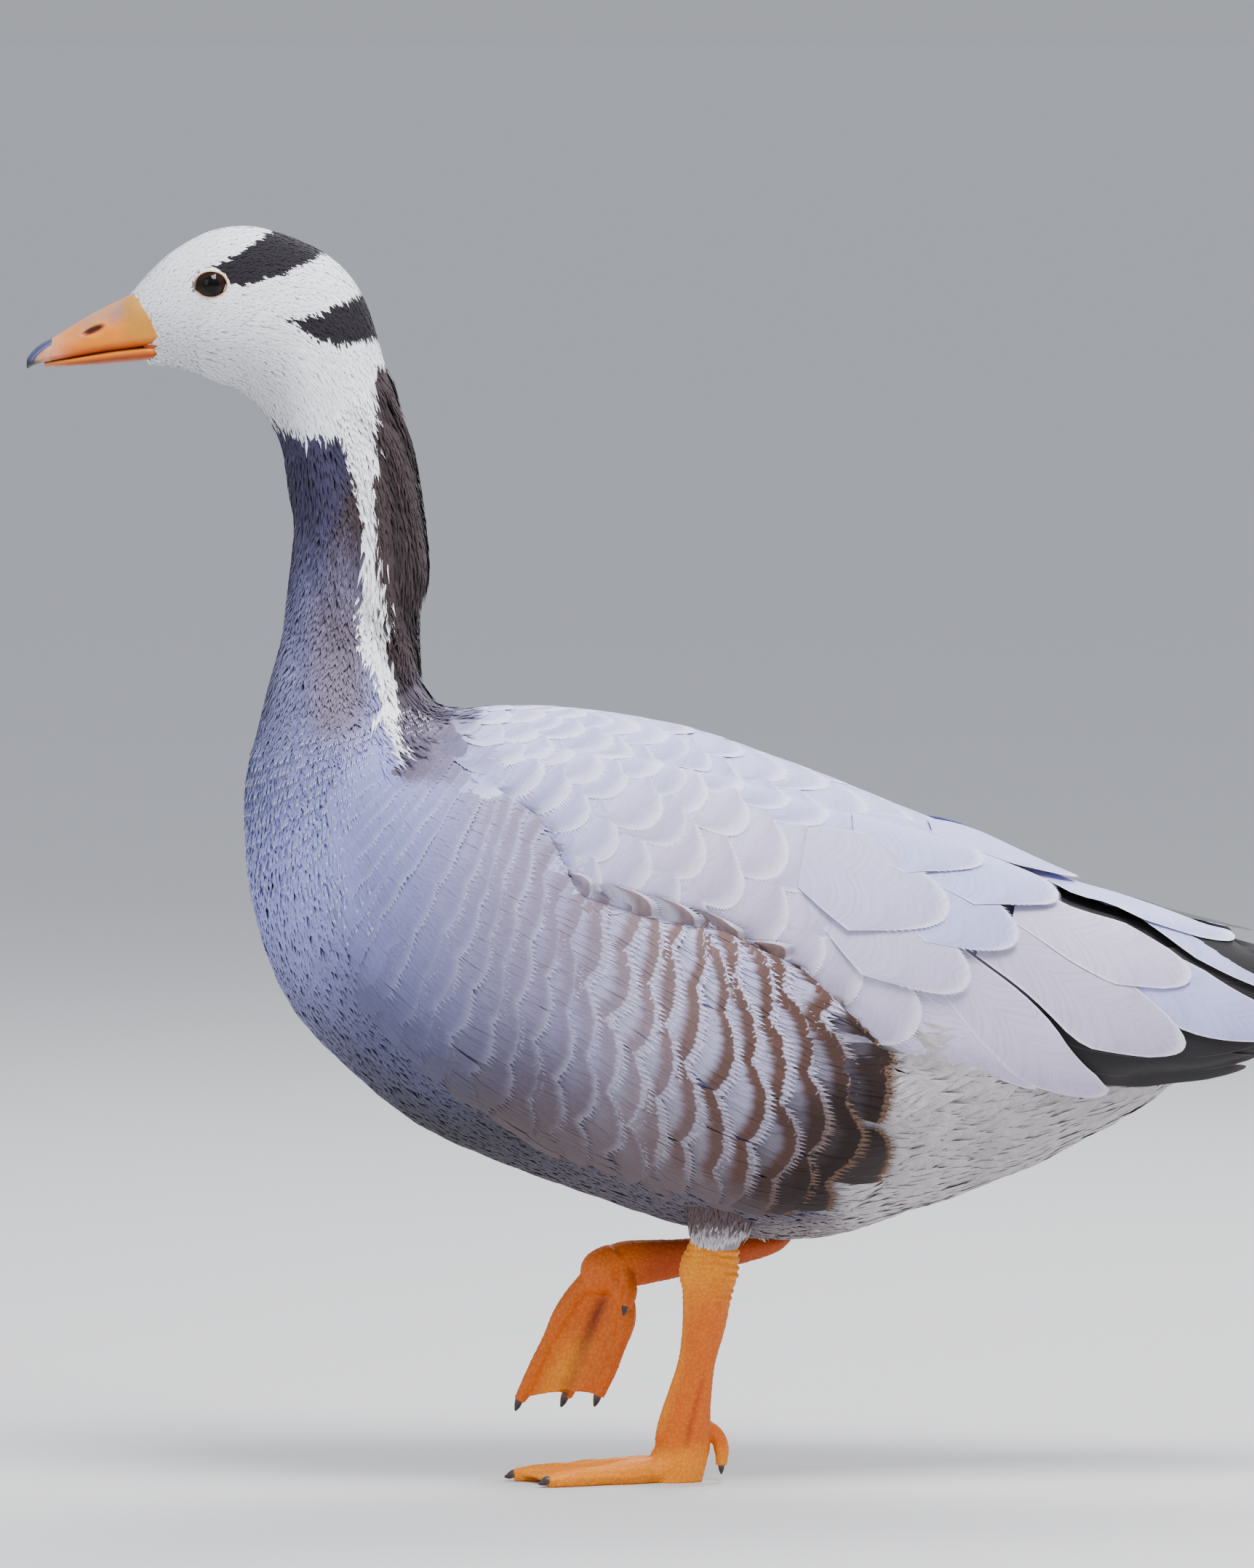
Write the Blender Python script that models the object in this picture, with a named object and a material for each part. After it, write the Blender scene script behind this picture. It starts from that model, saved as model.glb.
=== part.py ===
"""A bar-headed goose in mid stride, life size: the left foot stands, the right one swings.

The bird faces -X, its left side faces -Y and the floor is z = 0. Sizes are in millimetres.
The body is one smooth form, read through cross-sections from the bill to the tail and parted
by thin cuts. The folded wings and the flank plumage are shells that lie on that form.
"""

import math
from collections import namedtuple

import bmesh
import bpy
import numpy as np
from mathutils import Vector

MM = 0.001
CUT = 0.4  # the gap between neighbouring solids
SHELL_CLEARANCE = 1.3  # under a shell, where flat facets stray from the curved form

MIDDLE_TOE, OUTER_TOE, INNER_TOE = 66.0, 58.0, 50.0
CLAW = 8.0
EYE_RADIUS = 7.4
EYE_AT = (-182.1, 495.0)  # x and z of both eyes
EYE_SEEN = 5.8  # the radius of the part of the ball that shows
WEB_THICKNESS = 1.4

PLUMAGE_GREY = (0.50, 0.49, 0.58)
WHITE = (0.86, 0.86, 0.86)
BROWN_BLACK = (0.07, 0.05, 0.05)
SKIN_ORANGE = (0.85, 0.30, 0.03)
CLAW_BROWN = (0.16, 0.13, 0.12)

# A cross-section runs from a point on the ventral outline to one on the dorsal outline.
# widest is the share of that line, from below, where the section is widest.
Station = namedtuple("Station", "back_x back_z belly_x belly_z half_width widest square")

HEAD = [
    Station(-214.8, 492, -206.8, 461, 10.5, 0.45, 2.2),
    Station(-207.8, 500, -197.8, 460, 14.0, 0.45, 2.2),
    Station(-197.8, 509, -187.8, 457, 17.5, 0.45, 2.2),
    Station(-182.8, 517, -178.8, 453, 20.5, 0.44, 2.2),
    Station(-166.8, 519, -170.8, 450, 22.0, 0.43, 2.1),
    Station(-150.8, 515, -165.8, 446, 22.5, 0.43, 2.1),
    Station(-135.8, 508, -161.8, 442, 22.5, 0.44, 2.1),
    Station(-124.8, 498, -158.8, 437, 22.0, 0.46, 2.1),
    Station(-117.8, 485, -155.8, 432, 21.5, 0.48, 2.1),
]
NECK = [
    Station(-112.8, 469, -153.8, 426, 21.0, 0.5, 2.1),
    Station(-106.8, 448, -151.8, 417, 20.5, 0.5, 2.1),
    Station(-100.8, 428, -150.8, 408, 21.0, 0.5, 2.1),
    Station(-96.8, 405, -148.8, 396, 21.5, 0.5, 2.1),
    Station(-94.8, 384, -149.8, 381, 22.0, 0.5, 2.1),
    Station(-97.8, 355, -152.8, 356, 24.0, 0.5, 2.1),
    Station(-97.8, 342, -155.8, 341, 26.5, 0.5, 2.1),
    Station(-96.8, 332, -159.8, 326, 31.0, 0.5, 2.1),
]
TRUNK = [
    Station(-92.8, 324, -163.8, 309, 36.5, 0.5, 2.1),
    Station(-88.8, 320, -167.8, 292, 43.0, 0.5, 2.1),
    Station(-82.8, 318, -168.8, 273, 50.0, 0.5, 2.1),
    Station(-76.8, 318, -166.8, 248, 57.0, 0.5, 2.1),
    Station(-69.8, 319, -160.8, 221, 63.0, 0.5, 2.1),
    Station(-62.8, 320, -147.8, 194, 67.5, 0.5, 2.1),
    Station(-54.8, 320, -125.8, 171, 71.0, 0.5, 2.15),
    Station(-43.8, 320, -96.8, 148, 73.5, 0.5, 2.2),
    Station(-28.8, 319, -61.8, 132, 75.0, 0.5, 2.2),
    Station(-7.8, 316, -25.8, 119, 76.0, 0.5, 2.2),
    Station(19.2, 310, 10.2, 107, 76.0, 0.5, 2.2),
    Station(45.2, 301, 42.2, 101, 75.0, 0.5, 2.2),
    Station(72.2, 291, 71.2, 102, 72.0, 0.5, 2.2),
    Station(99.2, 280, 99.2, 110, 66.0, 0.5, 2.2),
    Station(126.2, 269, 126.2, 119, 57.0, 0.5, 2.2),
    Station(150.2, 257, 150.2, 128, 47.0, 0.52, 2.2),
    Station(171.2, 244, 171.2, 139, 37.0, 0.54, 2.2),
    Station(192.2, 230, 192.2, 150, 27.5, 0.56, 2.2),
    Station(210.2, 217, 210.2, 162, 20.0, 0.56, 2.2),
    Station(225.2, 207, 225.2, 172, 14.0, 0.56, 2.2),
]
# Behind the loins the folded wings leave the rump and run on over the tail.
WING_END = [
    Station(150.2, 257, 150.2, 128, 47.0, 0.52, 2.2),
    Station(171.2, 247, 171.2, 136, 41.0, 0.5, 2.2),
    Station(192.2, 240, 192.2, 144, 35.5, 0.48, 2.2),
    Station(210.2, 234, 210.2, 152, 31.5, 0.46, 2.2),
    Station(228.2, 229, 228.2, 158, 28.5, 0.44, 2.2),
    Station(247.2, 224, 247.2, 166, 26.5, 0.42, 2.2),
    Station(269.2, 218, 269.2, 176, 24.0, 0.4, 2.2),
    Station(297.2, 210, 297.2, 190, 14.0, 0.4, 2.2),
]
BODY = HEAD + NECK + TRUNK
NAPE = len(HEAD) - 0.5
MID_NECK = len(HEAD) + 3.5
NECK_ROOT = len(HEAD) + len(NECK) - 0.5
SHOULDER = len(HEAD) + len(NECK) + 5.0
TAIL_ROOT = len(BODY) - 1.0

# Edges of the shells in side view, as (x, z) points from front to back.
WING_LOWER_EDGE = [(-65.8, 292), (-46.8, 280), (-29.8, 247), (-0.8, 238), (29.2, 233), (61.2, 216),
                   (85.2, 193), (101.2, 178), (131.2, 174), (157.2, 164), (177.2, 162), (199.2, 171),
                   (224.2, 173), (243.2, 178), (263.2, 184), (273.2, 196), (297.2, 202)]
FLANK_LOWER_EDGE = [(-130.8, 200), (-90.8, 165), (-40.8, 135), (4.2, 118), (49.2, 108), (79.2, 112),
                    (109.2, 135)]


class Form:
    """Cross-sections in a row, with a smooth curve from each station to the next."""

    def __init__(self, stations):
        self.rows = np.array(stations, float)
        self.last = len(stations) - 1

    def section(self, t):
        """The station at t, which counts stations from 0 (a Catmull-Rom curve)."""
        i = int(min(max(math.floor(t), 0), self.last - 1))
        u = t - i
        before, here = self.rows[max(i - 1, 0)], self.rows[i]
        there, after = self.rows[i + 1], self.rows[min(i + 2, self.last)]
        bend = -before + 3 * here - 3 * there + after
        swing = 2 * before - 5 * here + 4 * there - after
        return Station(*(here + 0.5 * u * ((there - before) + u * (swing + u * bend))))

    def point(self, t, angle, swell=0.0):
        """A point of the section at t. Angle 0 is its widest level on the left side (-Y)."""
        s = self.section(t)
        up = np.array([s.back_x - s.belly_x, 0.0, s.back_z - s.belly_z])
        height = np.linalg.norm(up)
        up /= height
        centre = np.array([s.belly_x, 0.0, s.belly_z]) + up * height * s.widest
        rise, reach = math.sin(angle), math.cos(angle)
        radius = height * (1 - s.widest if rise > 0 else s.widest) + swell
        lift = math.copysign(abs(rise) ** (2 / s.square), rise) * radius
        side = math.copysign(abs(reach) ** (2 / s.square), reach) * (s.half_width + swell)
        return centre + up * lift - np.array([0.0, side, 0.0])

    def ring(self, t, count):
        return [self.point(t, 2 * math.pi * k / count) for k in range(count)]

    def angle_on(self, t, edge):
        """The angle where the section at t meets an edge that is drawn in side view."""
        xs, zs = zip(*edge)
        low, high = -math.pi / 2, math.pi / 2
        for _ in range(24):
            middle = (low + high) / 2
            x, _, z = self.point(t, middle)
            if z < np.interp(x, xs, zs):
                low = middle
            else:
                high = middle
        return low


def material(name, colour, roughness):
    """A Principled BSDF of one colour."""
    made = bpy.data.materials.new(name)
    made.use_nodes = True
    shader = made.node_tree.nodes["Principled BSDF"]
    shader.inputs["Base Color"].default_value = (*colour, 1.0)
    shader.inputs["Roughness"].default_value = roughness
    shader.inputs["Metallic"].default_value = 0.0
    made.diffuse_color = (*colour, 1.0)
    return made


def clear_scene():
    for old in list(bpy.data.objects):
        bpy.data.objects.remove(old)
    scene = bpy.context.scene
    for name in ("bar_headed_goose", "cutters"):
        scene.collection.children.link(bpy.data.collections.new(name))


def put(name, mesh, finish, cutter=False):
    """The mesh as a named object, in the bird's collection or among the cutters."""
    made = bpy.data.objects.new(name, mesh)
    mesh.materials.append(finish)
    mesh.shade_smooth()
    made.hide_render = cutter
    made.display_type = "WIRE" if cutter else "TEXTURED"
    bpy.data.collections["cutters" if cutter else "bar_headed_goose"].objects.link(made)
    return made


def loft(name, rings, finish, cutter=False):
    """A closed solid through rings that all have the same number of points."""
    work = bmesh.new()
    rows = [[work.verts.new(Vector(p) * MM) for p in ring] for ring in rings]
    count = len(rows[0])
    for row, following in zip(rows, rows[1:]):
        for k in range(count):
            n = (k + 1) % count
            work.faces.new((row[k], row[n], following[n], following[k]))
    work.faces.new(rows[0])
    work.faces.new(rows[-1])
    bmesh.ops.recalc_face_normals(work, faces=work.faces)
    mesh = bpy.data.meshes.new(name)
    work.to_mesh(mesh)
    work.free()
    return put(name, mesh, finish, cutter)


def mirrored(rings):
    return [[(x, -y, z) for x, y, z in ring] for ring in rings]


def boolean(target, tool, operation):
    """Joins or cuts target with tool, and puts the result in target's mesh."""
    step = target.modifiers.new(operation.lower(), "BOOLEAN")
    step.operation = operation
    step.object = tool
    step.solver = "EXACT"
    bpy.context.view_layer.update()
    evaluated = target.evaluated_get(bpy.context.evaluated_depsgraph_get())
    result = bpy.data.meshes.new_from_object(evaluated)
    target.modifiers.remove(step)
    target.data = result
    bpy.data.objects.remove(tool)


def body_piece(name, start, end, rings, count, finish):
    """A length of the body between two cuts."""
    form = Form(BODY)
    return loft(name, [form.ring(t, count) for t in np.linspace(start, end, rings)], finish)


def crescent(form, t, low, high, thickness, across, grow=0.0):
    """A shell's section: out along the plumage from low to high, and back under it. With
    grow, it is larger all round and reaches down into the form."""
    shares = np.linspace(0, 1, across)
    spread = grow / 60
    angles = low - spread + (high - low + 2 * spread) * shares
    proud = SHELL_CLEARANCE + 0.6 + grow + thickness * np.sin(math.pi * shares) ** 0.7
    outer = [form.point(t, a, p) for a, p in zip(angles, proud)]
    under = -2.0 if grow else SHELL_CLEARANCE
    inner = [form.point(t, a, under) for a in angles[::-1]]
    return outer + inner


def taper(share, front, back):
    """1 in the middle of a shell's length, and smaller over its front and back stretches."""
    return min(1.0, 0.25 + share / front, 0.25 + (1 - share) / back)


def shell_pair(name, rings, finish):
    loft(name + "_left", rings, finish)
    loft(name + "_right", mirrored(rings), finish)


def make_wings(grey, black):
    """Each folded wing is a shell from the shoulder back, and its primaries run on to a tip."""
    trunk_end = len(BODY) - 5
    form = Form(BODY[:trunk_end] + WING_END)
    start, end = SHOULDER + 0.6, trunk_end + 5.0
    wing = []
    for share in np.linspace(0, 1, 18):
        t = start + (end - start) * share
        low = form.angle_on(t, WING_LOWER_EDGE)
        high = math.radians(52 + 20 * share)
        wing.append(crescent(form, t, low, high, 6.5 * taper(share, 0.35, 0.6), 8))
    shell_pair("wing", wing, grey)
    primaries = []
    for t in np.linspace(end + 0.06, form.last, 6):
        low = form.angle_on(t, WING_LOWER_EDGE)
        high = math.radians(72)
        primaries.append(crescent(form, t, low, high, 1.6, 6))
    shell_pair("primaries", primaries, black)


def flank_rings(grow=0.0):
    """The flank plumage swells over the lower side and ends in a round edge behind the leg."""
    form = Form(BODY)
    start, end = SHOULDER + 0.4, SHOULDER + 8.45
    rings = []
    for share in np.linspace(0, 1, 16):
        t = start + (end - start) * share
        high = form.angle_on(t, WING_LOWER_EDGE) - math.radians(2.5)
        low = form.angle_on(t, FLANK_LOWER_EDGE)
        closing = math.sqrt(max(0.0, 1 - max(0.0, (share - 0.8) / 0.2) ** 2))
        middle, half = (low + high) / 2, (high - low) / 2 * max(0.25, closing)
        thickness = 5.0 * taper(share, 0.4, 0.4)
        rings.append(crescent(form, t, middle - half, middle + half, thickness, 8, grow))
    return rings


def make_tail(grey):
    """The closed fan of the tail: deep and narrow at the root, broad and thin at its tip."""
    stations = [
        Station(226.7, 205, 226.7, 173, 13.0, 0.55, 2.2),
        Station(239.2, 200, 239.2, 178, 16.5, 0.55, 2.5),
        Station(259.2, 195.5, 259.2, 185, 19.0, 0.5, 3.0),
        Station(275.2, 193.5, 275.2, 188.5, 24.0, 0.5, 3.5),
        Station(289.2, 192, 289.2, 189, 29.0, 0.5, 3.2),
        Station(302.2, 191.5, 302.2, 189.5, 23.0, 0.5, 2.6),
    ]
    form = Form(stations)
    loft("tail", [form.ring(t, 18) for t in np.linspace(0, form.last, 9)], grey)


def make_bill(orange, horn):
    """Upper mandible, its nail, and the lower mandible that closes against it."""
    upper = Form([
        Station(-214.9, 490.5, -209.4, 469.0, 11.2, 0.25, 2.4),
        Station(-221.8, 487.5, -217.8, 467.5, 10.8, 0.25, 2.4),
        Station(-230.8, 483, -228.8, 466.3, 10.0, 0.25, 2.4),
        Station(-239.8, 477.6, -238.8, 464.8, 9.2, 0.25, 2.5),
        Station(-247.2, 473, -247.2, 463.4, 8.2, 0.3, 2.6),
        Station(-252.8, 470, -252.8, 462.3, 6.6, 0.35, 2.5),
        Station(-256.3, 467, -256.3, 461.5, 4.6, 0.4, 2.3),
        Station(-258.6, 464, -258.6, 461, 2.0, 0.4, 2.0),
    ])
    loft("bill_upper", [upper.ring(t, 20) for t in np.linspace(0, 4.2, 8)], orange)
    loft("bill_nail", [upper.ring(t, 16) for t in np.linspace(4.26, 7, 6)], horn)
    lower = Form([
        Station(-209.2, 468.2, -207.9, 463, 9.6, 0.6, 2.4),
        Station(-221.8, 466.6, -220.8, 461.5, 9.0, 0.6, 2.4),
        Station(-233.8, 465.0, -232.8, 460.6, 8.0, 0.6, 2.4),
        Station(-244.3, 463.0, -243.3, 460.2, 6.0, 0.6, 2.3),
        Station(-250.3, 461.9, -249.8, 460.2, 3.4, 0.6, 2.2),
    ])
    loft("bill_lower", [lower.ring(t, 16) for t in np.linspace(0, lower.last, 7)], orange)


def ball(name, centre, radius, finish, cutter=False):
    work = bmesh.new()
    bmesh.ops.create_uvsphere(work, u_segments=14, v_segments=8, radius=radius * MM)
    bmesh.ops.rotate(work, verts=work.verts, matrix=Vector((0, 0, 1)).rotation_difference(
        Vector((0, 1, 0))).to_matrix())
    bmesh.ops.translate(work, verts=work.verts, vec=Vector(centre) * MM)
    mesh = bpy.data.meshes.new(name)
    work.to_mesh(mesh)
    work.free()
    return put(name, mesh, finish, cutter)


def make_head(white, black):
    """The head with a socket for each eye, and the eyes."""
    head = body_piece("head", 0, NAPE - 0.04, 17, 24, white)
    form = Form(HEAD)
    x, z = EYE_AT
    t = min(np.linspace(2, 5, 61), key=lambda t: abs(form.point(t, 0.5)[0] - x))
    angle = form.angle_on(t, [(x, z), (x + 1, z)])
    surface = -form.point(t, angle)[1]
    depth = surface - math.sqrt(EYE_RADIUS**2 - EYE_SEEN**2)
    for name, side in (("eye_left", -1), ("eye_right", 1)):
        centre = (x, side * depth, z)
        boolean(head, ball("socket", centre, EYE_RADIUS + CUT, white, True), "DIFFERENCE")
        ball(name, centre, EYE_RADIUS, black)


def limb(name, path, radii, finish, count=14, floor=None, cutter=False):
    """A solid along path, whose sections stand square to it. radii are (fore-aft, sideways)."""
    path = [Vector(p) for p in path]
    rings = []
    for i, (p, (deep, wide)) in enumerate(zip(path, radii)):
        along = (path[min(i + 1, len(path) - 1)] - path[max(i - 1, 0)]).normalized()
        sideways = (Vector((0, 1, 0)) - along * along.y).normalized()
        fore = along.cross(sideways)
        ring = []
        for k in range(count):
            a = 2 * math.pi * (k + 0.5) / count
            q = p + fore * (deep * math.cos(a)) + sideways * (wide * math.sin(a))
            if floor is not None:
                q.z = max(q.z, floor)
            ring.append(q)
        rings.append(ring)
    return loft(name, rings, finish, cutter)


def grown(radii):
    return [(deep + CUT, wide + CUT) for deep, wide in radii]


def make_leg(side, thigh, shank, thigh_radii, shank_radii, white, orange):
    """The feathered thigh, cut off where it enters the belly plumage, and the bare shank."""
    upper = limb("thigh_" + side, thigh, thigh_radii, white)
    form = Form(BODY)
    span = np.linspace(SHOULDER + 3, TAIL_ROOT - 3, 16)
    rings = [[form.point(t, 2 * math.pi * k / 40, 2 * CUT) for k in range(40)] for t in span]
    boolean(upper, loft("belly", rings, white, True), "DIFFERENCE")
    room = flank_rings(CUT)
    room = mirrored(room) if side == "right" else room
    boolean(upper, loft("flank_room", room, white, True), "DIFFERENCE")
    room = limb("shank_room", shank, grown(shank_radii), white, cutter=True)
    boolean(upper, room, "DIFFERENCE")
    limb("shank_" + side, shank, shank_radii, orange)


def toe_path(root, yaw, length, rise):
    """Points along a toe on the floor, turned yaw degrees to the right and rise high."""
    turn = math.radians(yaw)
    ahead = Vector((-math.cos(turn), math.sin(turn), 0))
    return [root + ahead * (length * s) + Vector((0, 0, high - root.z))
            for s, high in zip(np.linspace(0, 1, 6), rise)]


def web_between(first, second, reach, finish):
    """A membrane from one toe to the next. Its free edge is scooped, and reach is how far
    along the toes it goes."""
    rings = []
    steps = len(first) - 1
    for across in np.linspace(0, 1, 4):
        scoop = 1 - 0.1 * math.sin(math.pi * across)
        top, bottom = [], []
        for s in np.linspace(0.5, steps * reach * scoop, 5):
            i = min(int(s), steps - 1)
            a = first[i].lerp(first[i + 1], s - i)
            b = second[i].lerp(second[i + 1], s - i)
            normal = (first[i + 1] - first[i]).cross(b - a).normalized()
            middle = a.lerp(b, across)
            top.append(middle + normal * (WEB_THICKNESS / 2))
            bottom.append(middle - normal * (WEB_THICKNESS / 2))
        rings.append(top + bottom[::-1])
    return loft("web", rings, finish, True)


def make_foot(side, paths, heel, hind, shank, floor, orange, horn):
    """Three webbed toes under the end of the shank, a raised hind toe, and the claws."""
    foot = put("foot_" + side, limb("heel", *heel, orange, 14, floor, True).data, orange)
    bpy.data.objects.remove(bpy.data.objects["heel"])
    radii = [(r, r) for r in (6.4, 5.8, 5.0, 4.4, 3.8, 3.1)]
    for path in paths.values():
        boolean(foot, limb("toe", path, radii, orange, 10, floor, True), "UNION")
    for first, second in (("inner", "middle"), ("middle", "outer")):
        boolean(foot, web_between(paths[first], paths[second], 0.95, orange), "UNION")
    toe = limb("hind_toe_" + side, *hind, orange, 10, floor)
    path, radii = shank
    for part in (foot, toe):
        room = limb("shank_room", path, grown(radii), orange, cutter=True)
        boolean(part, room, "DIFFERENCE")
    tips = dict(paths, hind=hind[0])
    for name, path in tips.items():
        ahead = (path[-1] - path[-2]).normalized()
        length = CLAW * (0.7 if name == "hind" else 1.0)
        base = path[-1] + ahead * (CUT + 0.1)
        bend = Vector((0, 0, -0.12 * length))
        points = [base, base + ahead * length * 0.5 + bend * 0.4, base + ahead * length + bend]
        limb(f"claw_{name}_{side}", points, [(2.0, 2.3), (1.6, 1.7), (0.7, 0.7)], horn, 8,
             floor)


def make_standing_leg(white, orange, horn):
    """The left leg: its foot lies flat under the middle of the body."""
    thigh = [(28, -40, 150), (28, -34, 122), (26.5, -29, 106), (25.4, -26.4, 98.5)]
    shank = [(25.2, -26, 97.2), (22.2, -25, 89), (21.6, -23, 80), (20.2, -19.5, 66),
             (17.4, -14.6, 51), (14.6, -10.2, 37), (12.8, -6.8, 27), (11.8, -4.2, 19.5),
             (11.4, -2.6, 13.5)]
    radii = [(9.7, 8.2), (12.2, 8.4), (10.2, 7.2), (8.8, 6.0), (7.6, 5.4), (8.9, 5.8),
             (10.4, 6.6), (11.3, 7.4), (11.4, 7.8)]
    make_leg("left", thigh, shank, [(24, 16), (17, 14), (13, 12), (10.8, 9.6)], radii, white,
             orange)
    root = Vector((9, -1.5, 6))
    rise = (5.4, 4.9, 4.3, 3.8, 3.3, 2.6)
    paths = {"inner": toe_path(root, 27, INNER_TOE, rise),
             "middle": toe_path(root, 1, MIDDLE_TOE, rise),
             "outer": toe_path(root, -26, OUTER_TOE, rise)}
    heel = ([(11.4, -2.4, 12.6), (9, -2, 6), (7, -1.5, -4)], [(11, 7.6), (11.8, 8.2), (11.4, 8.2)])
    hind = ([Vector(p) for p in ((25.4, -1.6, 19.5), (27.6, -0.8, 13.5), (27.6, -0.4, 6.6))],
            [(3.6, 3.2), (4.2, 3.6), (2.8, 2.6)])
    make_foot("left", paths, heel, hind, (shank, radii), 0.0, orange, horn)


def make_swinging_leg(white, orange, horn):
    """The right leg: its shank is level under the belly and the folded toes hang from it."""
    thigh = [(22, 40, 140), (36, 35, 118), (47, 31, 102)]
    shank = [(55, 30.5, 96.5), (50, 30, 96), (36, 29, 93.8), (12, 27.5, 90.4), (-4, 26.3, 88.6),
             (-14, 25.2, 87.2), (-21, 24.4, 85.8)]
    radii = [(3.6, 5.0), (6.2, 7.2), (6.6, 6.2), (7.7, 5.6), (9.2, 6.0), (9.5, 7.0), (7.5, 6.5)]
    make_leg("right", thigh, shank, [(24, 18), (15, 13), (7.5, 7.5)], radii, white, orange)
    paths = {
        "inner": [(-20, 23, 85), (-13, 21, 74.5), (-12, 19.5, 64.5), (-15, 18.6, 54),
                  (-19, 18.2, 44), (-23, 18, 34.5)],
        "middle": [(-21, 24, 85), (-31, 24, 77), (-38, 24, 67), (-44, 24, 55.5),
                   (-49.5, 24, 44), (-55.5, 24, 32)],
        "outer": [(-20, 25, 84), (-21, 28.5, 73), (-23.5, 31.5, 62.5), (-27, 33.5, 52),
                  (-31.5, 34.5, 42), (-36.5, 34.8, 32.5)],
    }
    paths = {name: [Vector(p) for p in path] for name, path in paths.items()}
    heel = ([(-16, 24.6, 90), (-21, 24.2, 84), (-24, 24, 77)], [(8, 7), (10.6, 7.6), (6, 6)])
    hind = ([Vector(p) for p in ((-6.6, 16.6, 80.5), (-6.6, 11.6, 75), (-8.8, 9.2, 69))],
            [(3.4, 3.2), (3.6, 3.4), (2.6, 2.6)])
    make_foot("right", paths, heel, hind, (shank, radii), None, orange, horn)


def main():
    clear_scene()
    grey = material("plumage_grey", PLUMAGE_GREY, 0.8)
    white = material("plumage_white", WHITE, 0.85)
    dark = material("plumage_dark", BROWN_BLACK, 0.75)
    orange = material("bare_skin_orange", SKIN_ORANGE, 0.5)
    horn = material("claw_horn", CLAW_BROWN, 0.45)
    eye = material("eye_wet", BROWN_BLACK, 0.08)
    make_head(white, eye)
    body_piece("neck_upper", NAPE + 0.04, MID_NECK - 0.03, 7, 24, dark)
    body_piece("neck_lower", MID_NECK + 0.03, NECK_ROOT - 0.05, 7, 24, dark)
    body_piece("trunk", NECK_ROOT + 0.05, TAIL_ROOT, 26, 30, grey)
    make_wings(grey, dark)
    shell_pair("flank", flank_rings(), grey)
    make_tail(grey)
    make_bill(orange, horn)
    make_standing_leg(white, orange, horn)
    make_swinging_leg(white, orange, horn)


main()
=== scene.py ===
"""A walking bar-headed goose: one skin over the flesh, and a coat of modelled feathers on it.

Lengths are in millimetres until a mesh is made. The bird faces -X and its left side is -Y.
A place on the body is (t, a): t counts the body's stations from the bill to the tail, and a is
the angle round the section, 0 on the left side, pi/2 on the back and -pi/2 under the belly.
"""

import math

import bmesh
import bpy
import numpy as np
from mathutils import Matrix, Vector


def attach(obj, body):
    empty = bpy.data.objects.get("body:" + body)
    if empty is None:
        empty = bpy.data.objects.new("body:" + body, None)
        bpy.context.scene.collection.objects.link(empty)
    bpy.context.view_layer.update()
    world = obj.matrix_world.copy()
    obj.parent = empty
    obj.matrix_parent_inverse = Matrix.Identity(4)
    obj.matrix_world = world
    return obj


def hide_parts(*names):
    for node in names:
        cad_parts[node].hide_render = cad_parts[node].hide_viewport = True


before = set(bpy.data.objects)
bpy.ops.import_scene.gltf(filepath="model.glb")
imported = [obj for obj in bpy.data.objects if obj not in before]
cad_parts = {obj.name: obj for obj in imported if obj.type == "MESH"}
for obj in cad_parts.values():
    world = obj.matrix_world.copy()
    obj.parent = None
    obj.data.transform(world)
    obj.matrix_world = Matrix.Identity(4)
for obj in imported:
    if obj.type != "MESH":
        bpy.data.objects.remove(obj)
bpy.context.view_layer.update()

MM = 0.001
SEED = 7
rng = np.random.default_rng(SEED)

# x and z of the back and of the belly, half width, share of the height where the section is
# widest, and the exponent of its outline: the same stations as the solids have.
HEAD = [
    (-214.8, 492, -206.8, 461, 10.5, 0.45, 2.2),
    (-207.8, 500, -197.8, 460, 14.0, 0.45, 2.2),
    (-197.8, 509, -187.8, 457, 17.5, 0.45, 2.2),
    (-182.8, 517, -178.8, 453, 20.5, 0.44, 2.2),
    (-166.8, 519, -170.8, 450, 22.0, 0.43, 2.1),
    (-150.8, 515, -165.8, 446, 22.5, 0.43, 2.1),
    (-135.8, 508, -161.8, 442, 22.5, 0.44, 2.1),
    (-124.8, 498, -158.8, 437, 22.0, 0.46, 2.1),
    (-117.8, 485, -155.8, 432, 21.5, 0.48, 2.1),
]
NECK = [
    (-112.8, 469, -153.8, 426, 21.0, 0.5, 2.1),
    (-106.8, 448, -151.8, 417, 20.5, 0.5, 2.1),
    (-100.8, 428, -150.8, 408, 21.0, 0.5, 2.1),
    (-96.8, 405, -148.8, 396, 21.5, 0.5, 2.1),
    (-94.8, 384, -149.8, 381, 22.0, 0.5, 2.1),
    (-97.8, 355, -152.8, 356, 24.0, 0.5, 2.1),
    (-97.8, 342, -155.8, 341, 26.5, 0.5, 2.1),
    (-96.8, 332, -159.8, 326, 31.0, 0.5, 2.1),
]
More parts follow.
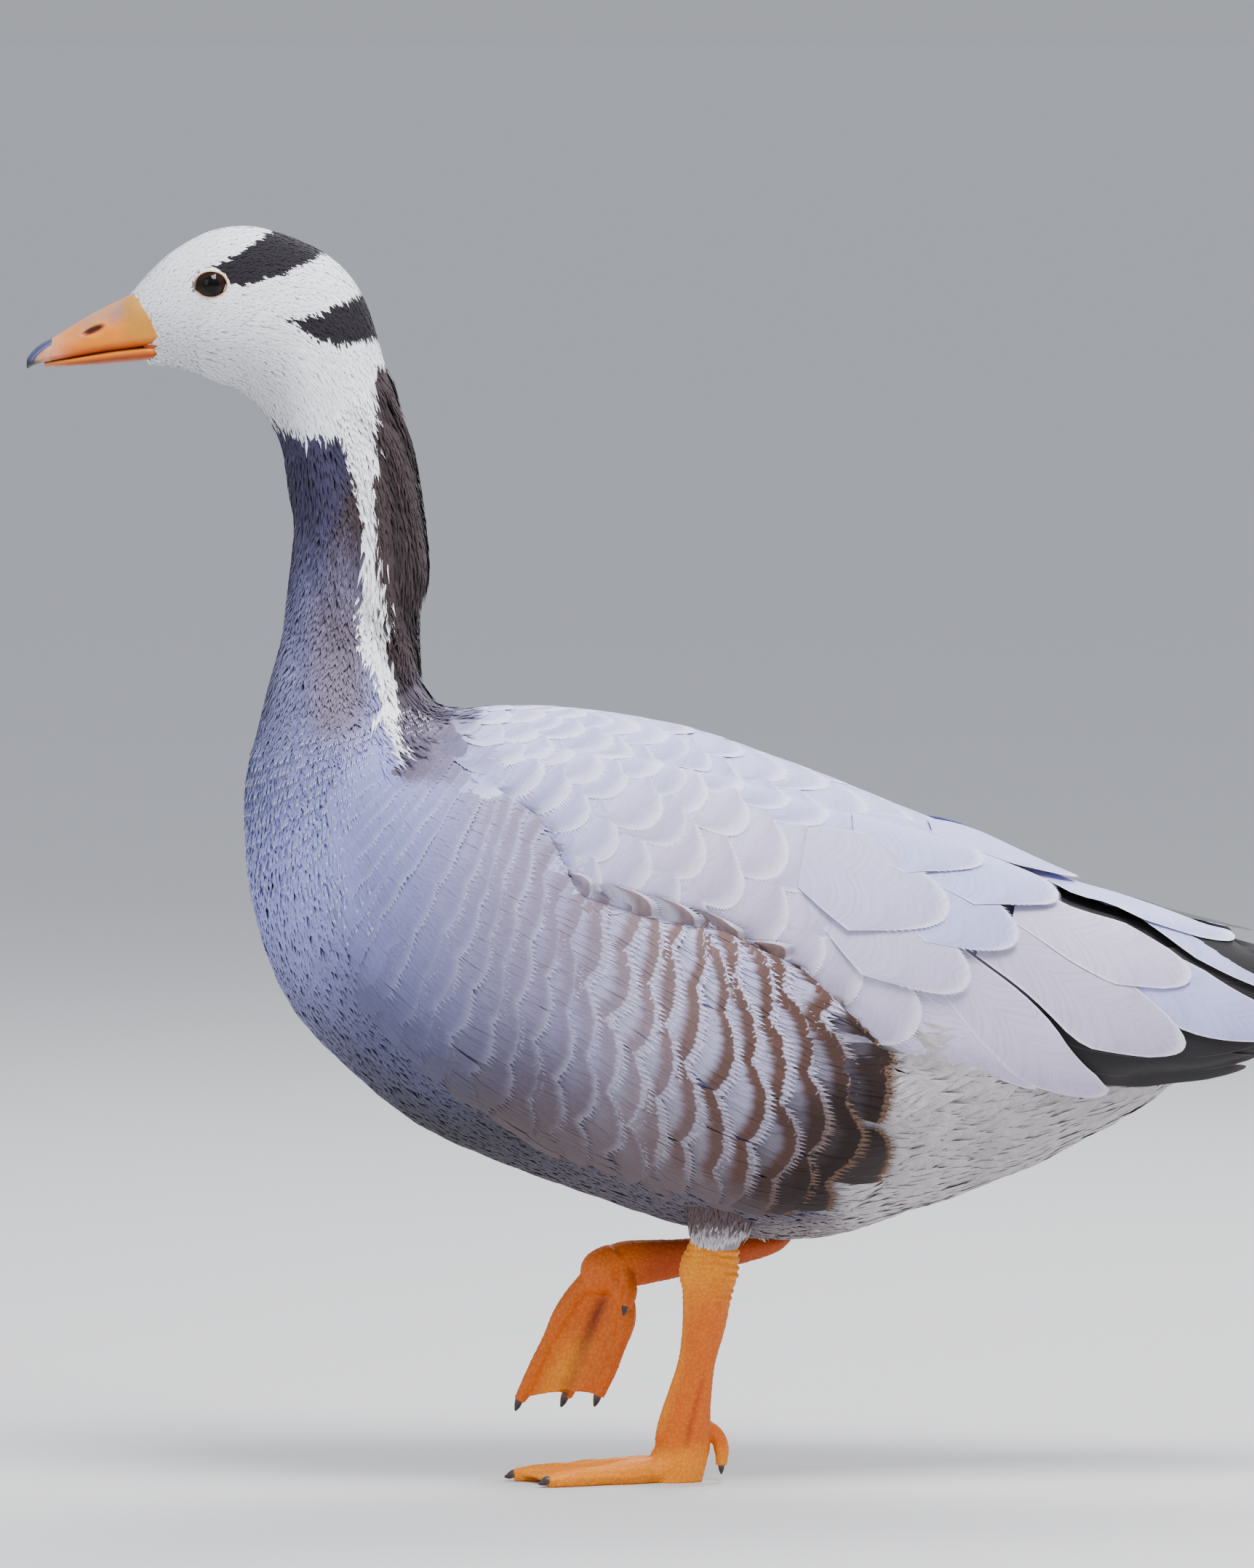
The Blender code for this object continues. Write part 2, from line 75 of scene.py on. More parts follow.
TRUNK = [
    (-92.8, 324, -163.8, 309, 36.5, 0.5, 2.1),
    (-88.8, 320, -167.8, 292, 43.0, 0.5, 2.1),
    (-82.8, 318, -168.8, 273, 50.0, 0.5, 2.1),
    (-76.8, 318, -166.8, 248, 57.0, 0.5, 2.1),
    (-69.8, 319, -160.8, 221, 63.0, 0.5, 2.1),
    (-62.8, 320, -147.8, 194, 67.5, 0.5, 2.1),
    (-54.8, 320, -125.8, 171, 71.0, 0.5, 2.15),
    (-43.8, 320, -96.8, 148, 73.5, 0.5, 2.2),
    (-28.8, 319, -61.8, 132, 75.0, 0.5, 2.2),
    (-7.8, 316, -25.8, 119, 76.0, 0.5, 2.2),
    (19.2, 310, 10.2, 107, 76.0, 0.5, 2.2),
    (45.2, 301, 42.2, 101, 75.0, 0.5, 2.2),
    (72.2, 291, 71.2, 102, 72.0, 0.5, 2.2),
    (99.2, 280, 99.2, 110, 66.0, 0.5, 2.2),
    (126.2, 269, 126.2, 119, 57.0, 0.5, 2.2),
    (150.2, 257, 150.2, 128, 47.0, 0.52, 2.2),
    (171.2, 244, 171.2, 139, 37.0, 0.54, 2.2),
    (192.2, 230, 192.2, 150, 27.5, 0.56, 2.2),
    (210.2, 217, 210.2, 162, 20.0, 0.56, 2.2),
    (225.2, 207, 225.2, 172, 14.0, 0.56, 2.2),
]
WING_END = [
    (150.2, 257, 150.2, 128, 47.0, 0.52, 2.2),
    (171.2, 247, 171.2, 136, 41.0, 0.5, 2.2),
    (192.2, 240, 192.2, 144, 35.5, 0.48, 2.2),
    (210.2, 234, 210.2, 152, 31.5, 0.46, 2.2),
    (228.2, 229, 228.2, 158, 28.5, 0.44, 2.2),
    (247.2, 224, 247.2, 166, 26.5, 0.42, 2.2),
    (269.2, 218, 269.2, 176, 24.0, 0.4, 2.2),
    (297.2, 210, 297.2, 190, 14.0, 0.4, 2.2),
]
BODY = HEAD + NECK + TRUNK
# t where the wing's end parts from the body, and of the nape, the neck's root and the shoulder.
WING_PARTS = len(BODY) - 5
NAPE = len(HEAD) - 0.5
NECK_ROOT = len(HEAD) + len(NECK) - 0.5
SHOULDER = len(HEAD) + len(NECK) + 5.0
# Edges in side view, as (x, z).
WING_LOWER_EDGE = [(-65.8, 292), (-46.8, 280), (-29.8, 247), (-0.8, 238), (29.2, 233),
                   (61.2, 216), (85.2, 193), (101.2, 178), (131.2, 174), (157.2, 164),
                   (177.2, 162), (199.2, 171), (224.2, 173), (243.2, 178), (263.2, 184),
                   (273.2, 196), (297.2, 202)]
FLANK_LOWER_EDGE = [(-130.8, 200), (-90.8, 165), (-40.8, 135), (4.2, 118), (49.2, 108),
                    (79.2, 112), (109.2, 135)]
# The eye's middle, the radius of its ball and the half axes of its opening.
EYE = (-182.1, 495.0)
EYE_BALL = 7.4
EYE_HALF = (6.2, 5.0)


def colour(red, green, blue):
    """Linear colour from the display values of a paint chip, 0 to 255."""
    c = np.array([red, green, blue], float) / 255
    return np.where(c <= 0.04045, c / 12.92, ((c + 0.055) / 1.055) ** 2.4)


def step(low, high, x):
    """A soft step from 0 at low to 1 at high; low may be the larger one."""
    s = np.clip((np.asarray(x, float) - low) / (high - low), 0, 1)
    return s * s * (3 - 2 * s)


def bell(x, middle, width):
    """1 at the middle, falling away softly on both sides."""
    return np.exp(-((x - middle) / width) ** 2)


def mix(a, b, share):
    """a where the share is 0, and b where it is 1."""
    share = np.asarray(share, float)[..., None]
    return a * (1 - share) + b * share


def paint(tint, *layers):
    """The tint under layers of (colour, share), each laid over the ones before it."""
    for over, share in layers:
        tint = mix(tint, over, share)
    return tint


def norm(vectors):
    return np.linalg.norm(vectors, axis=-1)


def turns(count, start=0.0):
    """Angles that go once round from the start."""
    return np.linspace(start, start + 2 * math.pi, count, endpoint=False)


def curve(values, t):
    """A smooth curve through rows of values, where t counts the rows."""
    last = len(values) - 1
    t = np.asarray(t, float)
    i = np.clip(np.floor(t), 0, last - 1).astype(int)
    u = (t - i)[..., None]
    before, here = values[np.maximum(i - 1, 0)], values[i]
    there, after = values[i + 1], values[np.minimum(i + 2, last)]
    bend = -before + 3 * here - 3 * there + after
    swing = 2 * before - 5 * here + 4 * there - after
    return here + 0.5 * u * ((there - before) + u * (swing + u * bend))


def halve(low, high, is_below, rounds):
    """The values between low and high where is_below stops being true."""
    for _ in range(rounds):
        middle = (low + high) / 2
        below = is_below(middle)
        low, high = np.where(below, middle, low), np.where(below, high, middle)
    return low


class Form:
    """A body read through cross-sections, with a smooth curve from station to station."""

    def __init__(self, stations):
        self.rows = np.array(stations, float)
        self.last = len(stations) - 1

    def point(self, t, a, swell=0.0):
        """The place of (t, a), swell mm out from the body."""
        t, a, swell = np.broadcast_arrays(np.asarray(t, float), a, swell)
        s = curve(self.rows, t)
        up = s[..., 0:2] - s[..., 2:4]
        height = norm(up)
        up = up / height[..., None]
        widest, power = s[..., 5], 2 / s[..., 6]
        centre = s[..., 2:4] + up * (height * widest)[..., None]
        rise, reach = np.sin(a), np.cos(a)
        radius = height * np.where(rise > 0, 1 - widest, widest) + swell
        lift = np.sign(rise) * np.abs(rise) ** power * radius
        side = np.sign(reach) * np.abs(reach) ** power * (s[..., 4] + swell)
        place = centre + up * lift[..., None]
        return np.stack([place[..., 0], -side, place[..., 1]], -1)

    def angle_on(self, t, edge):
        """The angle on the left where the section at t meets an edge given as (x, z)s."""
        xs, zs = zip(*edge)

        def under(a):
            p = self.point(t, a)
            return p[..., 2] < np.interp(p[..., 0], xs, zs)

        belly = np.full(np.shape(t), -math.pi / 2)
        return halve(belly, -belly, under, 22)


body = Form(BODY)
wing = Form(BODY[:WING_PARTS] + WING_END)
wing_ts = np.linspace(SHOULDER + 0.4, wing.last, 160)
wing_low_a = wing.angle_on(wing_ts, WING_LOWER_EDGE)
flank_ts = np.linspace(SHOULDER - 1, SHOULDER + 9.5, 90)
flank_low_a = body.angle_on(flank_ts, FLANK_LOWER_EDGE)
flank_high_a = body.angle_on(flank_ts, WING_LOWER_EDGE)


def left_of(a):
    """The same level on the left side, -pi/2 to pi/2."""
    return np.arcsin(np.sin(a))


def mound(s, share, height, front, rear, low_edge, high_edge):
    """A shell's height at s, 0 to 1 across it, and at share, 0 to 1 along it."""
    ends = np.minimum(1, np.minimum(0.25 + share / front, 0.25 + (1 - share) / rear))
    rise = 1.2 + height * ends * np.sin(math.pi * s) ** 0.7
    return rise * step(0, low_edge, s) * step(0, high_edge, 1 - s)


def shell_rise(t, a):
    """How far the folded wing and the flank plumage stand proud of the body form."""
    level, t = left_of(a), np.asarray(t, float)
    share = np.clip((t - SHOULDER - 0.6) / (WING_PARTS + 5.0 - SHOULDER - 0.6), 0, 1)
    low, high = np.interp(t, wing_ts, wing_low_a), np.radians(52 + 20 * share)
    s = np.clip((level - low) / (high - low), 0, 1)
    rise = mound(s, share, 6.5, 0.35, 0.6, 0.08, 0.1)
    rise = rise * step(SHOULDER + 0.3, SHOULDER + 1.1, t)
    share = np.clip((t - SHOULDER - 0.4) / 8.05, 0, 1)
    low, high = np.interp(t, flank_ts, flank_low_a), np.interp(t, flank_ts, flank_high_a)
    closing = np.sqrt(np.clip(1 - np.clip((share - 0.8) / 0.2, 0, 1) ** 2, 0, 1))
    middle, half = (low + high) / 2, (high - low) / 2 * np.maximum(0.25, closing)
    s = np.clip((level - middle + half) / (2 * half), 0, 1)
    flank = mound(s, share, 5.0, 0.4, 0.4, 0.1, 0.06)
    flank = flank * step(0, 0.06, share) * step(0, 0.03, 1 - share)
    return np.maximum(rise, flank)


def coat_depth(t):
    """How deep the feathers are, from the face to the body."""
    return np.interp(t, [0, 3, 8, 12, 17, 21, 36], [0.7, 1.1, 1.8, 2.4, 3.0, 3.8, 3.4])


class BodySurface:
    """The skin under the head, neck and trunk."""

    span = (0.0, body.last)

    def point(self, t, a, lift=0.0):
        return body.point(t, a, shell_rise(t, a) - coat_depth(t) + lift)


class WingSurface:
    """What the feathers of the folded wings and the back lie on."""

    span = (SHOULDER - 3, wing.last)

    def point(self, t, a, lift=0.0):
        rise = shell_rise(t, a)
        tail_end = step(WING_PARTS - 1, WING_PARTS + 3, t)
        return wing.point(t, a, rise - 0.8 * coat_depth(t) * (1 - 0.6 * tail_end) + lift)


class Tube:
    """A limb's surface: a is the angle round it, and t counts the points of its path."""

    def __init__(self, path, radii):
        self.path = np.array(path, float)
        self.radii = np.array(radii, float)
        self.span = (0.0, len(path) - 1.0)

    def point(self, t, a, lift=0.0):
        t, a, lift = np.broadcast_arrays(np.asarray(t, float), a, lift)
        ahead = curve(self.path, t + 0.02) - curve(self.path, t - 0.02)
        ahead /= norm(ahead)[..., None]
        sideways = np.array([0, 1.0, 0]) - ahead * ahead[..., 1:2]
        sideways /= norm(sideways)[..., None]
        fore = np.cross(ahead, sideways)
        r = curve(self.radii, t)
        return (curve(self.path, t) + fore * ((r[..., 0] + lift) * np.cos(a))[..., None]
                + sideways * ((r[..., 1] + lift) * np.sin(a))[..., None])


# ---- markings

WHITE = colour(248, 249, 254)
BAR = colour(30, 25, 33)
HIND_NECK = colour(58, 46, 48)
FORE_NECK = colour(58, 54, 80)
NECK_GREY = colour(142, 138, 172)
NECK_BROWN = colour(120, 106, 118)
BREAST = colour(146, 150, 208)
# The belly's own darker grey, with painted shade for the underside.
BELLY = colour(90, 85, 98)
FLANK = colour(152, 146, 176)
FLANK_EDGE = colour(212, 210, 234)
FLANK_BAND = colour(118, 96, 94)
REAR_BAND = colour(86, 60, 52)
FLANK_LAST = colour(30, 15, 11)
LAST_EDGE = colour(100, 74, 58)
BACK = colour(180, 182, 230)
BACK_EDGE = colour(222, 220, 246)
COVERT = colour(198, 190, 220)
COVERT_EDGE = colour(226, 220, 240)
# The vent's white, greyed partly by painted shade; the tail coverts use it too.
VENT = colour(184, 178, 181)
QUILL = colour(30, 26, 30)
TAIL_GREY = colour(150, 146, 156)

# The dark bars on the head, in side view, as brush strokes of (x, z, radius).
CROWN_BAR = [(-180.2, 500.8, 2.0), (-176.8, 499.4, 4.2), (-166.3, 502.0, 7.0), (-155.8, 507.2, 8.6),
             (-142.5, 514.5, 9.4)]
NAPE_BAR = [(-149.0, 480.2, 0.6), (-142.5, 478.2, 3.2), (-135.0, 477.6, 5.8),
            (-127.5, 478.2, 8.2), (-117.0, 482.5, 9.8)]
# x of both edges of the white stripe down the neck, at these heights.
STRIPE_Z = [291, 300, 312, 324, 336, 345, 354, 372, 384, 402, 414, 432, 462]
STRIPE_LEFT = [-104.5, -107.4, -110.6, -113.0, -117.4, -121.4, -121.0, -119.8, -118.6,
               -122.0, -123.6, -130.0, -140.0]
STRIPE_RIGHT = [-104.5, -103.0, -106.0, -106.6, -110.0, -112.4, -111.4, -113.4, -114.6,
                -115.4, -114.6, -116.0, -115.0]


def inside_stroke(x, z, stroke):
    """How far (x, z) is inside a brush stroke of (x, z, radius) points, in side view."""
    best = np.full(np.shape(x), -1e9)
    for (x0, z0, r0), (x1, z1, r1) in zip(stroke, stroke[1:]):
        dx, dz = x1 - x0, z1 - z0
        s = np.clip(((x - x0) * dx + (z - z0) * dz) / (dx * dx + dz * dz), 0, 1)
        distance = np.hypot(x - x0 - s * dx, z - z0 - s * dz)
        best = np.maximum(best, r0 + (r1 - r0) * s - distance)
    return best


def breast_shade(x, z):
    """How much painted shade darkens the lower breast, and how much painted light makes the upper
    flank paler.
    """
    along = z + 0.8 * (x + 80)
    shade = 1 - np.interp(along, [165, 178, 200, 225, 250, 275], [0.5, 0.5, 0.4, 0.3, 0.2, 0.0])
    there = (0.45 + 0.55 * step(-146, -114, x)) * (1 - 0.6 * step(-48, -12, x)) * step(74, 40, x)
    there *= 1 - 0.7 * step(150, 120, z)
    return 1 + (shade - 1) * there + 0.45 * bell(x, 40, 30) * bell(z, 226, 24)


def plumage(x, y, z, t, ragged=0.0):
    """Tint at a place on the body. ragged, in mm, moves the edges of the markings."""
    blotch = np.sin(x * 0.11 + z * 0.07) * np.cos(y * 0.09 - z * 0.05)
    # The breast runs into the belly's colour, darker towards the bottom; that colour holds painted
    # shade.
    breast = mix(BREAST, BELLY, step(228, 138, z + 0.12 * (x + 60) + 8 * blotch))
    breast = mix(breast, NECK_GREY, 0.5 * step(285, 330, z))
    # level paints light and shade on the front: a painted highlight across the middle of the
    # breast, painted shade above it at the neck's base, and a little below it.
    level = np.interp(z, [170, 205, 240, 262, 288, 320, 350, 375],
                      [0.92, 1.05, 1.3, 1.22, 0.8, 0.66, 0.74, 1.0])
    front = step(-118, -134, x - 0.4 * np.maximum(270 - z, 0))
    # breast_shade paints shade on the lower breast and light on the upper flank.
    breast = breast * ((1 + (level - 1) * front) * breast_shade(x, z))[:, None]
    brown = step(-146, -132, x) * step(-112, -126, x) * step(380, 350, z) * step(300, 318, z)
    fore = 0.55 * step(318, 372, z + ragged * 4 + 0.35 * (x + 135))
    fore = fore + 0.45 * step(350, 404, z + ragged * 4)
    beside = step(-134, -125, x - 0.25 * (z - 400)) * step(440, 425, z)
    fore_tone = mix(FORE_NECK, colour(62, 50, 54), beside)
    left, right = np.interp(z, STRIPE_Z, STRIPE_LEFT), np.interp(z, STRIPE_Z, STRIPE_RIGHT)
    stripe = (x > left + ragged * 0.7) & (x < right + ragged * 0.5) & (z > 294)
    hind = (x >= right + ragged * 0.5) & (z > 284) & (z < 461 + ragged)
    hind_tone = mix(HIND_NECK, colour(92, 84, 104), step(345, 300, z))
    head = (z > 431 + ragged * 1.6 - 0.35 * (x + 140) * (x < -140)) & ~hind
    # Painted shade: the white of the lower cheek and chin is greyed, most towards the bottom.
    painted_cheek_shade = 1 - step(-140, -155, x) * np.interp(z, [452, 470, 486], [0.26, 0.2, 0.0])
    bars = np.maximum(inside_stroke(x, z, CROWN_BAR), inside_stroke(x, z, NAPE_BAR))
    back = step(-98, -78, x - 0.22 * np.abs(y)) * step(262, 292, z + 0.3 * (x + 60))
    slate = step(20, 12, np.hypot(x + 85, 0.8 * (z - 310))) * (x > right)
    return paint(
        breast, (NECK_BROWN, 0.75 * brown), (fore_tone, fore),
        (hind_tone, hind * step(286, 292, z) * step(-70, -92, x - 0.5 * (z - 300))),
        (WHITE, stripe * step(292, 306, z)), (WHITE * painted_cheek_shade[:, None], head),
        (BAR, (bars + ragged * 0.6 > 0) & (t < 12)), (BACK, back),
        (colour(86, 78, 100), 0.8 * slate * step(284, 290, z)),
        (VENT, step(62, 84, x + ragged) * step(255, 225, z - 0.4 * (x - 100))),
        (colour(150, 138, 138), 0.7 * step(20, 60, x) * step(84, 66, x) * step(118, 108, z)))


# ---- mesh helpers

def new_object(name, data, material=None):
    made = bpy.data.objects.new(name, data)
    bpy.context.scene.collection.objects.link(made)
    if material is not None:
        data.materials.append(material)
    return made


def grid_mesh(name, points, closed=True, caps=True):
    """A skin through a grid of points (along, across, 3) in mm, facing out where closed."""
    along, across = points.shape[:2]
    index = np.arange(along * across).reshape(along, across)
    following = np.roll(index, -1, axis=1)
    if not closed:
        index, following = index[:, :-1], following[:, :-1]
    faces = np.stack([index[:-1], following[:-1], following[1:], index[1:]], -1)
    faces = faces.reshape(-1, 4).tolist()
    if caps and closed:
        faces += [index[0][::-1].tolist(), index[-1].tolist()]
    mesh = bpy.data.meshes.new(name)
    mesh.from_pydata((points.reshape(-1, 3) * MM).tolist(), [], faces)
    mesh.update()
    mesh.shade_smooth()
    if closed:
        work = bmesh.new()
        work.from_mesh(mesh)
        bmesh.ops.recalc_face_normals(work, faces=work.faces)
        work.to_mesh(mesh)
        work.free()
    return mesh


def read(data, field, width=1, kind=float):
    """A field of all of a mesh's vertices, corners or the like, as an array."""
    values = np.empty(len(data) * width, kind)
    data.foreach_get(field, values)
    return values.reshape(-1, width) if width > 1 else values


def put_attribute(mesh, name, values):
    """A number or a vector for each vertex."""
    values = np.ascontiguousarray(values, np.float32)
    kind, field = (("FLOAT", "value"), ("FLOAT_VECTOR", "vector"))[values.ndim - 1]
    mesh.attributes.new(name, kind, "POINT").data.foreach_set(field, values.ravel())


def put_uv(mesh, name, values, shift=0.0):
    """A UV map from a pair of values for each vertex, and a shift for each corner."""
    pairs = np.array(values)[read(mesh.loops, "vertex_index", kind=int)] + shift
    layer = mesh.uv_layers.new(name=name)
    layer.data.foreach_set("uv", pairs.astype(np.float32).ravel())


def evaluated_copy(obj, name, material=None):
    """A plain mesh object from what obj's modifiers make; obj is removed."""
    bpy.context.view_layer.update()
    graph = bpy.context.evaluated_depsgraph_get()
    mesh = bpy.data.meshes.new_from_object(obj.evaluated_get(graph))
    bpy.data.objects.remove(obj)
    mesh.name = name
    mesh.materials.clear()
    return new_object(name, mesh, material)


def run_nodes(obj, group, name, material, inputs):
    """The plain mesh that a node group makes from obj. inputs are named as on the group."""
    modifier = obj.modifiers.new(group.name, "NODES")
    modifier.node_group = group
    sockets = {item.name: item.identifier for item in group.interface.items_tree
               if item.in_out == "INPUT"}
    for label, value in inputs.items():
        modifier[sockets[label]] = value
    return evaluated_copy(obj, name, material)


def piece(obj, slot, *nodes):
    """The object rides on the body and stands for CAD nodes, which it hides. slot is not used."""
    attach(obj, "root")
    if nodes:
        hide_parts(*nodes)


def shell(name, points, tint, material, slot, *nodes, caps=True):
    """A piece with a skin through a grid of points. tint is a colour, a colour for each
    point, or a function of x, y and z."""
    mesh = grid_mesh(name, points, caps=caps)
    if callable(tint):
        tint = tint(*read(mesh.vertices, "co", 3).T / MM)
    put_attribute(mesh, "tint", np.broadcast_to(tint, (len(mesh.vertices), 3)))
    piece(new_object(name, mesh, material), slot, *nodes)


# ---- node helpers

class Nodes:
    """Adds nodes to a tree. An input takes a number, a colour, a name or a node's output."""

    def __init__(self, tree):
        self.tree = tree

    def feed(self, sockets, values):
        """Links or sets each of the sockets that values names."""
        for key, value in values.items():
            if isinstance(value, bpy.types.NodeSocket):
                self.tree.links.new(value, sockets[key])
            elif sockets[key].type == "RGBA":
                sockets[key].default_value = (*value, 1.0)
            else:
                sockets[key].default_value = value

    def add(self, kind, inputs, out=0, **settings):
        """A node with these settings and inputs; the result is its output."""
        node = self.tree.nodes.new(kind)
        for key, value in settings.items():
            setattr(node, key, value)
        self.feed(node.inputs, inputs)
        return node.outputs[out]

    def maths(self, operation, *values, clamp=False):
        return self.add("ShaderNodeMath", dict(enumerate(values)), operation=operation,
                        use_clamp=clamp)

    def times(self, a, b):
        return self.maths("MULTIPLY", a, b)

    def vector(self, operation, a, b):
        second = "Scale" if operation == "SCALE" else 1
        return self.add("ShaderNodeVectorMath", {0: a, second: b}, operation=operation)

    def split(self, vector):
        return self.add("ShaderNodeSeparateXYZ", {0: vector}).node.outputs

    def attribute(self, name, out="Color"):
        return self.add("ShaderNodeAttribute", {}, out, attribute_type="GEOMETRY",
                        attribute_name=name)

    def mix(self, share, a, b, blend="MIX"):
        return self.add("ShaderNodeMix", {0: share, 6: a, 7: b}, 2, data_type="RGBA",
                        blend_type=blend)

    def shade(self, share, tint, factors):
        """The tint times the factors where the share is 0, and unchanged where it is 1."""
        return self.mix(share, self.mix(1.0, tint, factors, "MULTIPLY"), tint)

    def remap(self, value, low, high, to_low=0.0, to_high=1.0):
        return self.add("ShaderNodeMapRange",
                        dict(enumerate((value, low, high, to_low, to_high))),
                        interpolation_type="SMOOTHSTEP")

    def bump(self, height, strength, distance):
        return self.add("ShaderNodeBump", {"Height": height, "Strength": strength,
                                           "Distance": distance}, "Normal")

    def noise(self, place, scale, detail, dimensions="3D"):
        return self.add("ShaderNodeTexNoise", {"Vector": place, "Scale": scale,
                                               "Detail": detail}, "Fac",
                        noise_dimensions=dimensions)

    def cells(self, place, scale):
        """The distance to the edge of the nearest cell."""
        return self.add("ShaderNodeTexVoronoi", {"Vector": place, "Scale": scale},
                        "Distance", feature="DISTANCE_TO_EDGE")

    def own_place(self):
        return self.add("ShaderNodeTexCoord", {}, "Object")

    def group(self, tree, inputs):
        node = self.add("ShaderNodeGroup", {}, 0, node_tree=tree).node
        self.feed(node.inputs, inputs)
        return node.outputs


def new_group(name, kind, inputs, outputs):
    """A node group whose sockets are given as name: (kind, start value)."""
    tree = bpy.data.node_groups.new(name, kind + "NodeTree")
    for way, sockets in (("INPUT", inputs), ("OUTPUT", outputs)):
        for label, (socket, start) in sockets.items():
            made = tree.interface.new_socket(label, in_out=way,
                                             socket_type="NodeSocket" + socket)
            if start is not None:
                made.default_value = start
    given, result = tree.nodes.new("NodeGroupInput"), tree.nodes.new("NodeGroupOutput")
    return tree, Nodes(tree), given.outputs, result.inputs


def new_material(name, values):
    """A Principled material with these values, its nodes and its inputs."""
    made = bpy.data.materials.new(name)
    made.use_nodes = True
    g = Nodes(made.node_tree)
    inputs = made.node_tree.nodes["Principled BSDF"].inputs
    g.feed(inputs, values)
    return made, g, inputs


def grain_group(name, size_label, size):
    """A group that takes the size of a grain and gives its shade and its height."""
    return new_group(name, "Shader", {size_label: ("Float", size)},
                     {"Shade": ("Float", None), "Height": ("Float", None)})


def barb_group():
    """Fine barbs that run from a feather's shaft to its rim, with a few splits."""
    tree, g, given, result = grain_group("barb grain", "Barbs", 60)
    vane = g.add("ShaderNodeUVMap", {}, "UV", uv_map="vane")
    x, y, _ = g.split(vane)
    across = g.maths("ABSOLUTE", g.maths("SUBTRACT", x, 0.5))
    slanted = g.maths("SUBTRACT", y, g.times(across, 0.5))
    wobble = g.times(g.noise(vane, 5.0, 2.0), 0.06)
    phase = g.times(g.maths("ADD", slanted, wobble), given["Barbs"])
    wave = g.maths("SINE", g.times(phase, 2 * math.pi))
    fine = g.maths("MULTIPLY_ADD", wave, 0.5, 0.5)
    place = g.add("ShaderNodeCombineXYZ", {"X": g.times(phase, 0.45),
                                           "Y": g.times(across, 1.6)})
    streaks = g.noise(place, 1.0, 3.0, "2D")
    shade = g.maths("ADD", g.times(fine, 0.16), g.times(streaks, 1.1), clamp=True)
    g.feed(result, {"Shade": shade, "Height": g.maths("ADD", g.times(fine, 0.3), streaks)})
    return tree


def skin_grain_group():
    """Small cells like those of bare skin, over broader mottling."""
    tree, g, given, result = grain_group("skin grain", "Size", 600)
    place = g.own_place()
    edge = g.remap(g.cells(place, given["Size"]), 0.0, 0.22)
    soft = g.remap(g.noise(place, 220.0, 5.0), 0.35, 0.62)
    both = g.maths("MULTIPLY_ADD", edge, 0.5, g.times(soft, 0.5))
    g.feed(result, {"Shade": both, "Height": both})
    return tree


def feather_material(name, roughness, sheen):
    """Vane colour, a band before the tip, a pale rim, and barbs along it all."""
    made, g, shader = new_material(name, {
        "Roughness": roughness, "Sheen Weight": sheen, "Sheen Roughness": 0.5,
        "Specular IOR Level": 0.3})
    rim_width, band_share, barbs = g.split(g.attribute("marks", "Vector"))
    from_rim, along, across = g.split(g.attribute("rim", "Vector"))
    grain = g.group(barb_grain, {"Barbs": barbs})
    banded = g.times(g.remap(along, 0.63, 0.8), band_share)
    tint = g.mix(banded, g.attribute("tint"), g.attribute("band"))
    # On a banded feather the fringe starts sharply, as two pale barbs with a gap between them.
    crisp = g.remap(band_share, 0.62, 0.8)
    start = g.times(g.times(rim_width, crisp), 0.7)
    fringe = g.remap(from_rim, start, rim_width, 1.0, 0.0)
    wide = g.maths("ABSOLUTE", across)
    barb = g.times(g.remap(wide, 0.08, 0.36), g.remap(wide, 1.0, 0.66))
    gap = g.times(g.maths("SUBTRACT", 1.0, barb), g.times(crisp, 0.6))
    fringe = g.times(fringe, g.maths("SUBTRACT", 1.0, gap))
    tint = g.mix(fringe, tint, g.attribute("edge"))
    tint = g.shade(g.remap(from_rim, -0.7, -0.3), tint, (1.22, 1.23, 1.25))
    tint = g.shade(g.remap(grain["Shade"], 0.35, 0.85), tint, (0.86, 0.85, 0.86))
    g.feed(shader, {"Base Color": tint, "Normal": g.bump(grain["Height"], 0.35, 0.0003)})
    return made


def down_material():
    """Down between the feathers: the plumage's tint, darker and mottled."""
    made, g, shader = new_material("down", {"Roughness": 0.9})
    mottle = g.noise(g.own_place(), 900.0, 4.0)
    tint = g.shade(g.remap(mottle, 0.35, 0.65), g.attribute("tint"), (0.8, 0.79, 0.8))
    g.feed(shader, {"Base Color": tint, "Normal": g.bump(mottle, 0.6, 0.0006)})
    return made


def bare_material(name, roughness, grain_size, grain_depth, coat):
    """Bare skin and horn: the piece's own tint, a fine grain and a waxy top."""
    made, g, shader = new_material(name, {
        "Roughness": roughness, "Coat Weight": coat, "Coat Roughness": 0.3,
        "Specular IOR Level": 0.35})
    grain = g.group(skin_grain, {"Size": grain_size})
    tint = g.shade(grain["Shade"], g.attribute("tint"), (0.9, 0.84, 0.8))
    rough = g.remap(grain["Shade"], 0.0, 1.0, min(roughness + 0.15, 1), roughness)
    g.feed(shader, {"Base Color": tint, "Roughness": rough,
                    "Normal": g.bump(grain["Height"], 0.3, grain_depth)})
    return made


